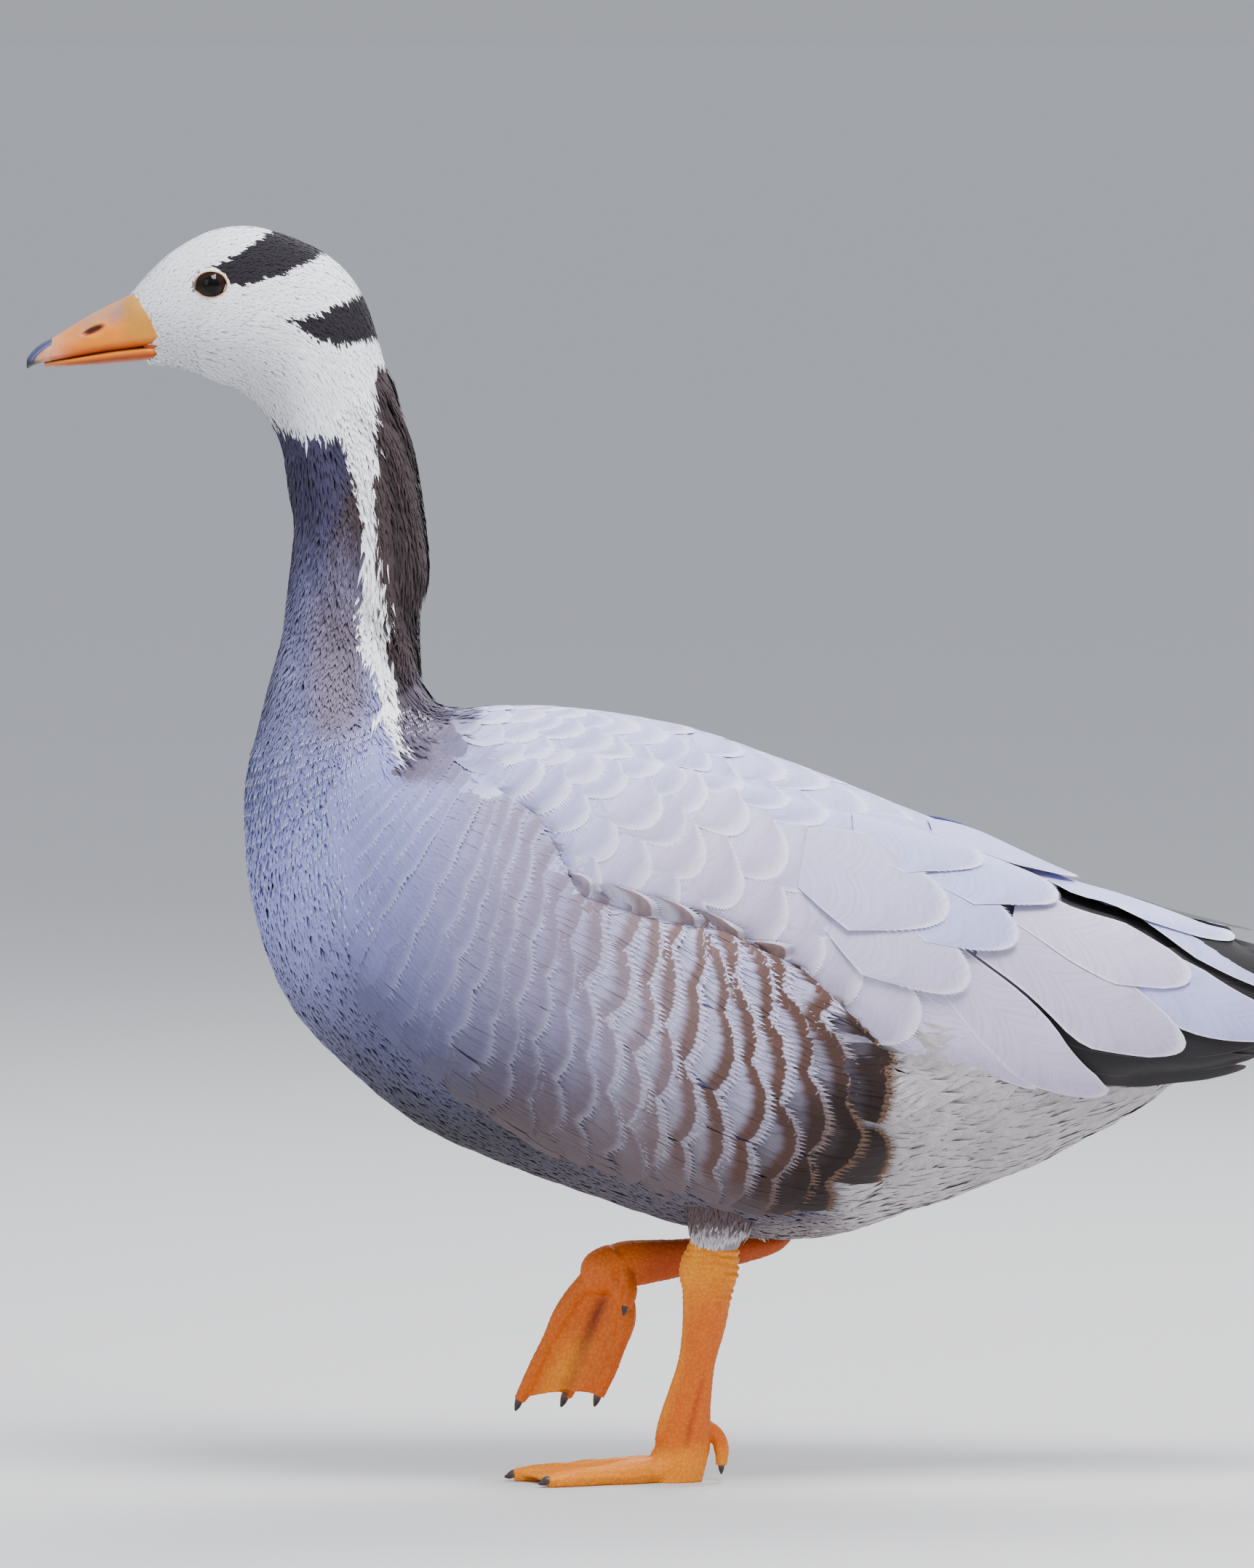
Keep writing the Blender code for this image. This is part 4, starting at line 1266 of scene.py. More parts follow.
def flank_bend(t, level):
    """The rear rows follow the flank's rounded end; all of them waver a little."""
    end = step(26.5, 30.4, t)
    z = body_plan.point(np.full(np.shape(level), t), level)[..., 2]
    wave = 0.05 * np.sin(4.1 * level + 1.9 * t) + 0.03 * np.sin(9.0 * level + 5.3 * t)
    return end * (flank_end(z) - FLANK_REAR_X) / FLANK_PITCH + wave * (1 - 0.5 * end)


def coat_flanks():
    """Upright rows of comb-tipped feathers, close in front and broad behind, where each has
    a brown band. The last rows are dark brown."""
    rows = row_starts(body_plan, 18.2, 31.0,
                      lambda t: np.interp(t, [18, 20, 22, 24, 26, 28, 30],
                                          [4.8, 5.4, 6.2, 7.6, 10.4, 12.6, 13.2]), 0.2)
    tips = tips_on_rows(body_plan, rows, (-0.95, 1.3), flank_bend, lambda t: 2.0,
                        lambda t: np.interp(t, [18, 22, 25, 28], [12, 16, 26, 34]), 0.15)
    t, level = tips["t"], tips["level"]
    share = row_share(t, level)
    x, y, z = body_plan.point(t, level).T
    mask = (rng.random(len(t)) < step(0.15, 0.4, share)) & (tips["gap"] > 1.6)
    mask &= level < back_edge(t) - 0.03 + 0.07 * step(25.2, 26.2, t)
    mask &= ((z > 104.5) | (x < 50)) & (x < flank_end(z))
    tips = keep(tips, mask)
    t, level, gap, c = (tips[key] for key in ("t", "level", "gap", "c"))
    x, y, z, share, count = x[mask], y[mask], z[mask], share[mask], len(t)
    rear = step(23, 27, t)
    bow = np.abs(c) ** 2.2 * (0.22 + 0.2 * rear)
    length = gap * (2.7 - bow + rng.normal(0, 0.03, count))
    turn = -0.12 - 0.12 * rear + 0.2 * c * rear + rng.normal(0, 0.035, count)
    roots = hang(body_plan, dict(tips, t=t - bow * gap / FLANK_PITCH), length, turn)
    top = step(0.35, 0.05, back_edge(t) - level) * step(SHOULDER + 0.4, SHOULDER + 1.2, t)
    roots.update(width=3.8 + 1.0 * c * c,
                 lift=np.interp(t, [17, 20, 24, 33], [3.2, 3.9, 4.4, 4.4]) + 0.6 * rear
                 + 1.3 * step(25.0, 26.4, t) * top - 0.5 * rear * c * c
                 + rng.uniform(-0.1, 0.1, count))
    tint = plumage(x, y, z, np.minimum(t, 24))
    tint[(tint.mean(axis=1) > 0.6) & (z > 200)] = NECK_GREY
    firm = step(0.45, 0.95, share)
    side = step(-115, -50, x) * step(140, 205, z + 0.3 * x) * firm
    # shade is breast_shade's painted shade and light, on the flank's tint and its pale edges. low
    # darkens the front of the flank towards the belly, partly its own colour and partly painted
    # shade. light is painted light on the upper rear flank.
    shade = breast_shade(x, z)[:, None]
    low = step(190, 136, z + 0.25 * x) * step(-100, -40, x)
    brown = step(-75, 25, x + 0.35 * (z - 200)) * step(112, 150, z + 0.5 * x)
    last = step(54, 94, x + 0.5 * (170 - z) + 4 * np.sin(0.21 * z))
    light = step(-30, 5, x) * step(128, 165, z + 0.3 * x) * (1 - last)
    contrast = np.maximum(brown, last)
    tint = paint(tint, (FLANK * shade, 0.85 * side), (colour(92, 79, 82), 0.8 * low),
                 (FLANK_EDGE * 0.9, 0.3 * light), (FLANK_LAST, 0.94 * last))
    brown_tint = mix(FLANK_BAND, REAR_BAND, step(-10, 60, x + 0.5 * (190 - z)))
    band = paint(tint * np.array([0.78, 0.74, 0.77]), (brown_tint, brown), (FLANK_LAST, last))
    pale = 0.16 + 0.3 * step(125, 200, z) - 0.2 * top
    pale *= (0.55 + 0.45 * step(-70, 0, x)) * (1 - 0.9 * step(-72, -84, x) * step(282, 294, z))
    edge = paint(tint, (FLANK_EDGE * np.minimum(shade, 1.1), pale * firm),
                 (LAST_EDGE, 0.95 * last),
                 (colour(106, 80, 56), 0.6 * step(-9, -2, x - flank_end(z)) * last))
    marks = np.stack([0.2 - 0.05 * contrast - 0.05 * last,
                      (0.4 + 0.6 * contrast) * step(0.4, 0.9, share), 24 + 0 * t], -1)
    dress(roots, vary(tint, 0.02), vary(edge, 0.02), vary(band, 0.04), marks)
    for name, mask in (("coat_breast_sides", t < FLANK_T), ("coat_flanks", t >= FLANK_T)):
        lay(name, body_plan, lock, keep(roots, mask), fine_vane, ruffle=0.04)


def coat_flank_top():
    """The flank's topmost feathers: broad brown lobes that lap over the wing's edge, each with
    a pale comb along its rim."""
    t = np.tile(np.arange(25.75, 29.3, 0.7), 2)
    count = len(t)
    t = t + rng.uniform(-0.04, 0.04, count)
    tips = {"t": t, "level": back_edge(t) + 0.05, "side": np.repeat([1.0, -1.0], count // 2)}
    length = np.interp(t, [25.3, 27, 30], [26, 36, 36]) * rng.uniform(0.96, 1.04, count)
    roots = hang(body_plan, tips, length, 0.2 + rng.normal(0, 0.03, count))
    roots.update(width=np.interp(t, [25.3, 27, 28, 30], [15, 18, 14, 13]),
                 lift=np.interp(t, [25.3, 26.4, 27.6, 28.4], [5.0, 6.6, 6.8, 5.8])
                 + rng.uniform(-0.1, 0.1, count))
    x = body_plan.point(t, tips["level"])[:, 0]
    last, rusty = step(66, 84, x), step(-60, 10, x)
    tint = mix(mix(FLANK_EDGE * 0.8, FLANK, 0.5 * rusty), REAR_BAND, step(27.2, 28.2, t))
    band = mix(mix(FLANK, FLANK_BAND, rusty), REAR_BAND * 0.8, last)
    edge = mix(FLANK_EDGE * 0.9, LAST_EDGE, last)
    dress(roots, vary(tint, 0.02), edge, vary(band, 0.03), (0.14, 0.9, 34))
    lay("coat_flank_top", body_plan, comb, roots, fine_vane, ruffle=0.05)


def coat_vent():
    """Long loose white feathers behind the legs and under the tail."""
    roots = rows_of(body_plan, 27.5, 36.3, 3.6, 1.0, 0.3)
    x, y, z = places(body_plan, roots)
    t, level, count = roots["t"], left_of(roots["a"]), len(roots["t"])
    clump = np.sin(0.19 * x + 0.1 * z + 2.0 * np.sin(0.13 * z + 0.05 * y))
    length = np.interp(t, [28, 32, 36], [20, 26, 24]) * rng.uniform(0.8, 1.2, count)
    roots.update(length=length, width=rng.uniform(6.0, 9.0, count),
                 lift=3.0 + 0.6 * clump + rng.uniform(-0.2, 0.2, count),
                 turn=rng.normal(0, 0.08, count) + 0.12 * clump)
    # Painted shade: feathers between the clumps, where they lie lower, are darker.
    tint = vary(mix(VENT, VENT * 0.86, step(0.1, -0.9, clump)), 0.03)
    dress(roots, tint, paler(tint, 1.06), tint * 0.94, (0.3, 0.2, 14))
    inside = level < np.where(t > 33.6, 1.4, np.interp(t, wing_ts, wing_low_a) + 0.12)
    inside &= x > flank_end(z) - 22
    lay("coat_vent", body_plan, wisp, keep(roots, inside), fine_vane, "plumage_white", ruffle=0.08)


# ---- back and wings

def wing_tint(x, level, t):
    """Lavender above, a warmer pale grey on the lower coverts."""
    lower = step(0.75, 0.25, level - np.interp(t, wing_ts, wing_low_a)) * step(-60, 40, x)
    return mix(BACK, COVERT, lower), mix(BACK_EDGE, COVERT_EDGE, lower)


def coat_back():
    """Mantle and scapulars: broad overlapping crescents with pale soft rims, and one row of
    them along the ridge of the back."""
    stations = [19, 21, 23, 25, 27, 29, 31]
    rows = row_starts(wing_plan, 19.2, 33.2,
                      lambda t: np.interp(t, stations, [5.5, 7.0, 8.6, 10.5, 14.5, 19, 21]),
                      0.95)

    def wide(t):
        return np.interp(t, stations, [9, 13, 17, 21, 27, 32, 34])

    tips = tips_on_rows(wing_plan, rows, (-0.4, math.pi / 2), straight, wide, wide, 0.1, 0.5)
    ridge = (np.array(rows[1:]) + np.array(rows[:-1])) / 2
    top = np.full(len(ridge), math.pi / 2)
    spine = {"t": ridge, "level": top, "gap": np.diff(rows) * wing_plan.along(ridge, top),
             "c": 0 * ridge, "side": 1 + 0 * ridge}
    tips = {key: np.concatenate([tips[key], spine[key]]) for key in tips}
    above = tips["level"] - back_edge(tips["t"])
    mask = (above > -0.1) & (tips["gap"] > 2)
    tips, above = keep(tips, mask), above[mask]
    t, level, count = tips["t"], tips["level"], len(tips["t"])
    down_turn = np.interp(above, [0, 0.3, 0.8, 1.1], [0.62, 0.6, 0.4, 0.02])
    down_turn = down_turn * step(20.0, 22.5, t) * (1 - 0.4 * step(27, 32, t))
    length = (tips["gap"] * 1.7 + 0.6 * wide(t)) * rng.uniform(0.94, 1.06, count)
    roots = hang(wing_plan, tips, length, -down_turn + rng.normal(0, 0.08, count))
    x, y, z = wing_plan.point(t, level).T
    roots.update(width=1.42 * wide(t) * rng.uniform(0.94, 1.08, count),
                 lift=np.interp(t, [19, 23, 32], [3.3, 3.9, 3.6]) + rng.uniform(-0.1, 0.1, count)
                 - 0.3 * (level > 1.57))
    tint, edge = wing_tint(x, level, t)
    blend = step(-62, -84, x - 0.25 * (318 - z))
    tint = mix(vary(tint, 0.025), plumage(x, y, z, t), blend)
    edge = mix(edge, tint * 1.08, blend)
    marks = np.stack([9 / length * rng.uniform(0.8, 1.2, count),
                      np.interp(t, [19, 25, 31], [0.58, 0.61, 0.4]),
                      np.interp(t, [19, 32], [26, 80])], -1)
    dress(roots, tint, edge, tint * np.array([0.78, 0.73, 0.76]), marks)
    inside = (x < 118) | (level > 0.74) & (x < 190)
    for name, template, mask, vane in (
            ("coat_mantle", crescent, t < SCAPULAR_T, fine_vane),
            ("coat_scapulars", rounded, t >= SCAPULAR_T, broad_vane)):
        lay(name, wing_plan, template, keep(roots, inside & mask), vane, ruffle=0.03)


# How far a single feather's tip rises over its root, in mm.
QUILL_LIFT = 2.2


def placed(plan, rows):
    """Roots for single feathers given as (root x, root z, tip x, tip z, width, raise), on
    both sides. The first ones lie lowest."""
    made = []
    for root_x, root_z, tip_x, tip_z, width, height in rows:
        t0, a0 = plan.find(root_x, root_z)
        t1, a1 = plan.find(tip_x, tip_z)
        tm, am = (t0 + t1) / 2, (a0 + a1) / 2
        du, dv = plan.metric(np.array([tm]), np.array([am]))
        (u0, v0), (u1, v1) = plan.plan(t0, a0), plan.plan(t1, a1)
        dx, dy = (u1 - u0) / du[0], (v1 - v0) / dv[0]
        length, turn = math.hypot(dx, dy), math.atan2(dy, dx)
        rest = (length, width, QUILL_LIFT, height)
        made.append((t0, a0, tm, am, *rest, turn))
        made.append((t0, math.pi - a0, tm, math.pi - am, *rest, -turn))
    keys = ("t", "a", "metric_t", "metric_a", "length", "width", "lift", "raise", "turn")
    return dict(zip(keys, np.array(made, float).T))


# Single feathers of the folded wing: x and z of the root and of the tip, width, and height
# above the wing's surface.
FLIGHT = [(150, 186, 243, 174, 17, -0.6), (155, 191, 247, 179, 18, -0.3),
          (160, 197, 250, 185, 18, 0.0), (205, 199, 288, 190, 12, -0.8),
          (205, 205, 294, 196, 13, -0.4), (200, 212, 299, 202, 14, 0.0),
          (196, 218, 299, 208, 14, 0.4)]
COVERTS = [(60, 214, 112, 183, 16, 0.2), (68, 214, 120, 179, 16, 0.4),
           (78, 215, 131, 175.5, 17, 0.6), (88, 216, 143, 173.5, 18, 0.8),
           (99, 218, 156, 167.5, 20, 1.0), (108, 219, 170, 166.5, 22, 1.3),
           (116, 221, 184.5, 164.5, 27, 1.7), (134, 231, 217, 183, 33, 2.3),
           (146, 241, 219, 210, 27, 2.9)]
TERTIALS = [(160, 238, 268, 190, 26, 2.0), (172, 246, 268, 203, 17, 2.4),
            (150, 256, 238, 222, 20, 3.2)]
SLITS = [(190, 240, 262, 206, 11, 2.7), (176, 250, 246, 224, 10, 2.95)]
SCAPULARS = [(70, 246, 127, 211, 38, 3.2), (92, 254, 147, 227, 36, 3.6),
             (60, 262, 118, 238, 42, 4.0), (104, 262, 163.5, 240, 34, 4.2),
             (80, 272, 132, 255, 36, 4.4), (112, 268, 172, 246, 24, 4.6)]


def coat_wing():
    """The folded wing's single feathers, from the flight feathers up to the scapulars."""
    sets = (("coat_flight", FLIGHT, QUILL, colour(62, 52, 56), (0.1, 0.2, 110),
             "plumage_dark", ("primaries_left", "primaries_right")),
            ("coat_slits", SLITS, QUILL * 0.6, QUILL, (0.08, 0, 90), "plumage_dark", ()),
            ("coat_coverts", COVERTS, COVERT, COVERT_EDGE, (0.12, 0.35, 80),
             "plumage_grey", ()),
            ("coat_tertials", TERTIALS, BACK * 1.04, BACK_EDGE, (0.12, 0.3, 100),
             "plumage_grey", ()))
    for name, rows, tint, edge, marks, slot, nodes in sets:
        roots = placed(wing_plan, rows)
        tints = vary(np.tile(tint, (len(roots["t"]), 1)), 0.04)
        dress(roots, tints, edge, tints * np.array([0.84, 0.8, 0.82]), marks)
        lay(name, wing_plan, quill, roots, broad_vane, slot, ruffle=0.0, nodes=nodes)
    roots = placed(wing_plan, SCAPULARS)
    x = places(wing_plan, roots)[0]
    tint, edge = wing_tint(x, left_of(roots["a"]), roots["t"])
    dress(roots, vary(tint, 0.03), edge, tint * np.array([0.88, 0.84, 0.86]), (0.16, 0.4, 80))
    lay("coat_long_scapulars", wing_plan, rounded, roots, broad_vane, ruffle=0.0)


def wing_skin(side):
    """The folded wing under its feathers, a thin shell from its lower edge to the back."""
    along, across = 60, 36
    t = np.linspace(SHOULDER + 1, wing.last, along)
    low = np.interp(t, wing_ts, wing_low_a) + 0.05
    a = np.linspace(low, math.pi / 2 + 0.02, across, axis=1)
    ends = 0.4 * np.minimum(1, np.minimum(np.arange(across), np.arange(across)[::-1]) / 3)
    surface, t = WingSurface(), t[:, None]
    points = np.concatenate([surface.point(t, a, ends - 0.6),
                             surface.point(t, a[:, ::-1], -0.8 - ends)], axis=1)
    points = points * [1, -1 if side == "right" else 1, 1]
    tint = mix(COVERT * 0.8, QUILL, step(128, 165, points.reshape(-1, 3)[:, 0]))
    shell("wing_skin_" + side, points, tint, down, "plumage_grey", "wing_" + side)


# ---- tail

class TailSheet:
    """The tail's closed fan: t goes from its root to its tip, and a runs across it."""

    span = (0.0, 1.0)
    length = 88.0

    def point(self, t, a, lift=0.0):
        t, a, lift = np.broadcast_arrays(np.asarray(t, float), a, lift)
        across = a / (math.pi / 2)
        half = np.interp(t, [0, 0.35, 0.8, 1], [12, 16, 26, 29])
        z = np.interp(t, [0, 0.3, 1], [196, 192.5, 190.8]) - 2.5 * across ** 2 * (1 - 0.7 * t)
        return np.stack([212 + self.length * t, across * half, z + lift], -1)


def coat_tail():
    """Grey tail feathers with white tips, and the white coverts over their roots."""
    steps = np.arange(-7, 8)
    a, same = steps / 7 * 1.25, np.ones(len(steps))
    roots = {"t": -0.1 * same, "a": a, "metric_t": 0.6 * same, "metric_a": a,
             "length": 96 - 0.13 * steps ** 2, "width": 13.0 * same, "lift": 0.8 * same,
             "raise": 1.6 - 0.2 * np.abs(steps), "turn": 0 * same}
    dress(roots, TAIL_GREY, WHITE, TAIL_GREY * 0.85, (0.2, 0.4, 90))
    lay("coat_tail", tail_plan, quill, roots, broad_vane, ruffle=0.02, nodes=("tail",))
    for name, height, flip in (("upper", 2.6, 1), ("under", -3.2, -1)):
        t, a = np.meshgrid(np.linspace(-0.25, 0.25, 7), np.linspace(-1.35, 1.35, 13))
        count = t.size
        t = t.ravel() + rng.normal(0, 0.02, count)
        a = a.ravel() + rng.normal(0, 0.05, count)
        roots = {"t": t, "a": a, "length": rng.uniform(26, 36, count),
                 "width": rng.uniform(8, 11, count), "lift": np.full(count, 1.4 * flip),
                 "raise": np.full(count, height * 0.4), "turn": rng.normal(0, 0.08, count)}
        tint = vary(np.tile(VENT, (count, 1)), 0.03)
        dress(roots, tint, WHITE, tint * 0.95, (0.3, 0.2, 30))
        lay("coat_tail_" + name, tail_plan, crescent, roots, fine_vane, "plumage_white")


# ---- bill

UPPER_BILL = [(-207.5, 490.4, -203.0, 469.4, 12.4, 0.25, 2.5),
              (-214.9, 490.5, -209.4, 468.6, 12.0, 0.22, 2.5),
              (-221.8, 487.5, -217.8, 467.2, 11.0, 0.25, 2.4),
              (-230.8, 483.0, -228.8, 465.9, 10.0, 0.25, 2.4),
              (-239.8, 477.6, -238.8, 464.4, 9.2, 0.25, 2.5),
              (-247.2, 473.0, -247.2, 463.0, 8.2, 0.3, 2.6),
              (-252.8, 470.0, -252.8, 462.1, 6.6, 0.35, 2.5),
              (-256.3, 467.0, -256.3, 460.9, 4.6, 0.4, 2.3),
              (-258.6, 464.0, -258.6, 459.8, 2.0, 0.4, 2.0)]
LOWER_BILL = [(-204.4, 470.0, -204.4, 465.2, 9.0, 0.5, 2.8),
              (-209.2, 469.7, -207.9, 463.6, 10.9, 0.5, 2.8),
              (-221.8, 468.2, -220.8, 462.3, 10.2, 0.55, 2.6),
              (-233.8, 466.0, -232.8, 461.4, 9.0, 0.55, 2.6),
              (-244.3, 464.2, -243.3, 460.8, 7.4, 0.55, 2.5),
              (-251.3, 463.0, -250.8, 460.6, 4.8, 0.5, 2.3)]
NAIL_START = 5.1
NOSTRIL = (-230.9, 475.9)
NOSTRIL_HALF = (5.0, 1.3)
NOSTRIL_SLANT = math.radians(24)
ORANGE = colour(224, 128, 10)
# Orange darkened as painted shade, for the bill's lower parts and below the mouth.
SHADED_ORANGE = colour(192, 80, 0)
CULMEN = colour(158, 132, 118)
BILL_TIP = colour(206, 142, 108)
NAIL = colour(58, 64, 104)


def nostril_depth(x, z):
    """1 in the middle of the nostril, 0 on its rim and outside."""
    dx, dz = x - NOSTRIL[0], z - NOSTRIL[1]
    along = dx * math.cos(NOSTRIL_SLANT) + dz * math.sin(NOSTRIL_SLANT)
    over = -dx * math.sin(NOSTRIL_SLANT) + dz * math.cos(NOSTRIL_SLANT)
    return step(1.25, 0.55, np.hypot(along / NOSTRIL_HALF[0], over / NOSTRIL_HALF[1]))


def bill_tint(x, y, z):
    """Orange with painted shade low on the upper bill, duller on the culmen, rosy at the tip, with
    dark painted shade in the nostrils.
    """
    culmen = np.interp(x, [-258, -247, -240, -230, -220, -214, -205],
                       [464, 473, 477.6, 483.4, 488, 490.8, 494])
    below = culmen - z
    cloud = 0.75 + 0.25 * np.sin(x * 1.1 + 2 * np.sin(z * 0.9))
    stripe = step(-221.5, -215, x - 0.05 * (480 - z)) * step(470, 476, z)
    red = bell(x, -246, 5) * step(467, 463.5, z - 0.09 * (x + 246))
    # Painted shade in the nostril openings, near black in the middle.
    slot = nostril_depth(x, z) * (np.abs(y) > 3)
    # The deeper orange on the lower part of the upper bill is painted shade.
    return paint(
        ORANGE, (SHADED_ORANGE, step(473.5, 467.5, z - 0.09 * (x + 215))),
        (CULMEN, step(10.5, 1.5, below) * step(-246, -232, x) * cloud * 0.9),
        (colour(140, 106, 108), 0.75 * bell(x, -220, 4.5) * bell(below, 5.0, 3.4)),
        (colour(176, 126, 40), 0.8 * stripe), (BILL_TIP, step(-238, -249, x) * 0.85),
        (colour(206, 96, 60), 0.6 * red), (colour(120, 22, 8), slot),
        (colour(40, 8, 6), step(0.75, 1.0, slot) * 0.9))


def lower_tint(x, y, z):
    """Orange darkened by painted shade, most towards the bottom, and dark brown painted shade where
    the upper bill meets it.
    """
    below = np.interp(x, [-251, -221, -209], [462.8, 467.4, 468.8]) - z
    side = mix(ORANGE * 0.8, SHADED_ORANGE * 0.7, step(0.5, 3.0, below))
    return paint(colour(90, 26, 6), (side, step(-0.2, 0.9, below)),
                 (BILL_TIP, step(-240, -249, x) * 0.4))


def nail_tint(x, y, z):
    """A slate blue nail with a pale rim, on the rosy tip."""
    inside = x - np.interp(z, [459.5, 462, 465.2, 468.4, 470.9, 473],
                           [-258.6, -258.8, -257.0, -253.4, -249.4, -246.5])
    return paint(BILL_TIP, (NAIL, step(3.4, 2.4, inside)),
                 (colour(120, 130, 172), 0.6 * bell(inside, 1.6, 0.5)),
                 (colour(44, 46, 50), step(464.2, 462.2, z) * step(9, 5, inside)))


def mouth_line(x, z, width):
    """The crease that runs back from the mouth over the bare skin."""
    return bell(z, 470.4 + 0.08 * (x + 204), width) * step(-216, -214, x)


def base_tint(x, y, z):
    """As the bill, with painted shade below the mouth line and dark painted shade in the crease of
    the mouth.
    """
    return paint(bill_tint(x, y, z), (SHADED_ORANGE * 0.8, step(471.6, 470.6, z)),
                 (colour(110, 46, 18), 0.9 * mouth_line(x, z, 0.5)))


def form_grid(form, t0, t1, along, across):
    """A grid of t over part of a form, and its points."""
    t, a = np.meshgrid(np.linspace(t0, t1, along), turns(across, -math.pi / 2), indexing="ij")
    return t, form.point(t, a)


def sideways(points, amount):
    """The points moved away from the middle plane."""
    points[..., 1] += np.sign(points[..., 1]) * amount
    return points


def build_bill():
    """The upper bill with its nostrils, the nail and the lower bill."""
    upper, lower = Form(UPPER_BILL), Form(LOWER_BILL)
    points = form_grid(upper, 0.0, NAIL_START + 0.12, 110, 132)[1]
    x, z = points[..., 0], points[..., 2]
    sides = step(2.0, 5.0, np.abs(points[..., 1]))
    round_nostril = np.hypot((x - NOSTRIL[0]) / 6.2, (z - NOSTRIL[1]) / 3.2)
    swell = 0.25 * bell(round_nostril, 1, 0.35) - 1.5 * nostril_depth(x, z)
    swell = swell + 0.3 * bell(z, 466.6 + 0.09 * (x + 228), 1.1)
    shell("bill_upper_fine", sideways(points, sides * swell), bill_tint, bill_skin,
          "bare_skin_orange", "bill_upper")
    t, points = form_grid(upper, NAIL_START, upper.last - 0.02, 60, 96)
    middle = points.mean(axis=1, keepdims=True)
    proud = 1 + 0.03 * step(NAIL_START, NAIL_START + 0.5, t) - 0.01 * step(0, 1.5, t - 6.2)
    shell("bill_nail_fine", middle + (points - middle) * proud[..., None], nail_tint, horn,
          "claw_horn", "bill_nail")
    shell("bill_lower_fine", form_grid(lower, 0, lower.last, 80, 96)[1], lower_tint,
          bill_skin, "bare_skin_orange", "bill_lower")


def build_bill_base():
    """Bare skin that runs from the bill back to the feathers and to the corner of the mouth."""
    angles = turns(180, -math.pi / 2)

    def on_bill(t):
        p = body_plan.point(t, angles)
        return p[:, 0] < bill_edge(p[:, 2])

    front, rear = np.full_like(angles, -0.6), np.full_like(angles, 1.6)
    low = np.maximum(halve(front, rear, on_bill, 24), -0.2)
    share = np.linspace(0, 1, 26)[:, None]
    t = -0.25 + share * (low + 0.25)
    lift = 0.5 * (1 - share ** 4) * step(-0.2, 0.35, share) - 0.05
    points = body_plan.point(t, np.broadcast_to(angles, t.shape), lift * step(0.05, 0.4, low + 0.2))
    crease = mouth_line(points[..., 0], points[..., 2], 0.42)
    shell("bill_base", sideways(points, -0.5 * crease), base_tint, bill_skin,
          "bare_skin_orange", caps=False)


# ---- eyes

def build_eyes():
    """Each eye with its cornea, and the lids round it."""
    reach = -body.point(*body_plan.find(*EYE))[1]
    depth = reach - math.sqrt(EYE_BALL ** 2 - 5.8 ** 2)
    turn, tilt = np.meshgrid(turns(64), np.linspace(0.02, math.pi / 2 + 0.5, 40))
    radius = EYE_BALL * np.sin(tilt)
    height = EYE_BALL * np.cos(tilt) + 0.35 * step(5.0, 2.0, radius)
    x, z = EYE[0] + radius * np.cos(turn), EYE[1] + radius * np.sin(turn)
    for side, sign in (("left", -1), ("right", 1)):
        mesh = grid_mesh("eye_fine_" + side, np.stack([x, sign * (depth + height), z], -1))
        put_attribute(mesh, "ring", radius.ravel())
        piece(new_object("eye_fine_" + side, mesh, eye_gloss), "eye_wet", "eye_" + side)
        build_lids(side, sign, depth)


# Steps out from the lid's edge, and the height of each above the ball or the head's skin.
LID_STEPS = [(-0.35, -0.5), (-0.1, 0.05), (0.1, 0.4), (0.3, 0.55), (0.55, 0.55), (0.8, 0.4),
             (1.1, 0.22), (1.6, 0.1), (2.4, -0.25)]


def build_lids(side, sign, depth):
    """A soft ring that narrows the round ball to an almond, with a corner in front."""
    turn = turns(144)
    corner = bell(turn, math.radians(202), 0.2)
    beads = 0.09 * np.sin(turn * 21 + 2 * np.sin(3 * turn))
    shape = np.stack([np.cos(turn), np.sin(turn)], -1)
    inner = shape * np.array(EYE_HALF) * (1 + 0.16 * corner)[:, None]
    rings = []
    for out, rise in LID_STEPS:
        grow = out + (beads * 1.6 if 0.2 < out < 0.9 else 0) + 0.6 * corner * (out > 0)
        ring = inner + shape * grow[:, None]
        x, z = (ring + EYE).T
        skin = np.array([-body_plan.point(*body_plan.find(*spot))[1] for spot in zip(x, z)])
        far = norm(ring)
        ball = depth + np.sqrt(np.maximum(EYE_BALL ** 2 - far ** 2, 0))
        base = np.where(far < EYE_BALL - 0.3, np.maximum(ball, skin), skin)
        rings.append(np.stack([x, sign * (base + rise), z], -1))
    points = np.array(rings)
    for _ in range(2):
        y = points[:, :, 1]
        points[:, :, 1] = (np.roll(y, 1, 1) + np.roll(y, -1, 1) + 2 * y) / 4

    def tint(x, y, z):
        x, z = x - EYE[0], z - EYE[1]
        far, around = np.hypot(x / EYE_HALF[0], z / EYE_HALF[1]), np.arctan2(z, x)
        gaps = step(0.2, 0.7, np.sin(21 * around + 1.5 * np.sin(3 * around)))
        gaps = gaps * step(1.12, 1.17, far) * step(1.34, 1.24, far)
        front = step(-5.0, -7.2, x) * step(1.5, 1.3, far) * step(2.5, 0, z)
        return paint(colour(58, 34, 20), (colour(196, 152, 100), step(1.02, 1.07, far)),
                     (WHITE, step(1.1, 1.15, far)), (colour(160, 146, 140), 0.7 * gaps),
                     (colour(96, 56, 34), 0.85 * front))

    shell("eyelids_" + side, points, tint, lid_skin, "bare_skin_orange", caps=False)


# ---- legs and feet

CLAW = 8.0
TOES = ("inner", "middle", "outer")
LEG_ORANGE = colour(220, 110, 0)
LEG_LIGHT = colour(252, 164, 0)
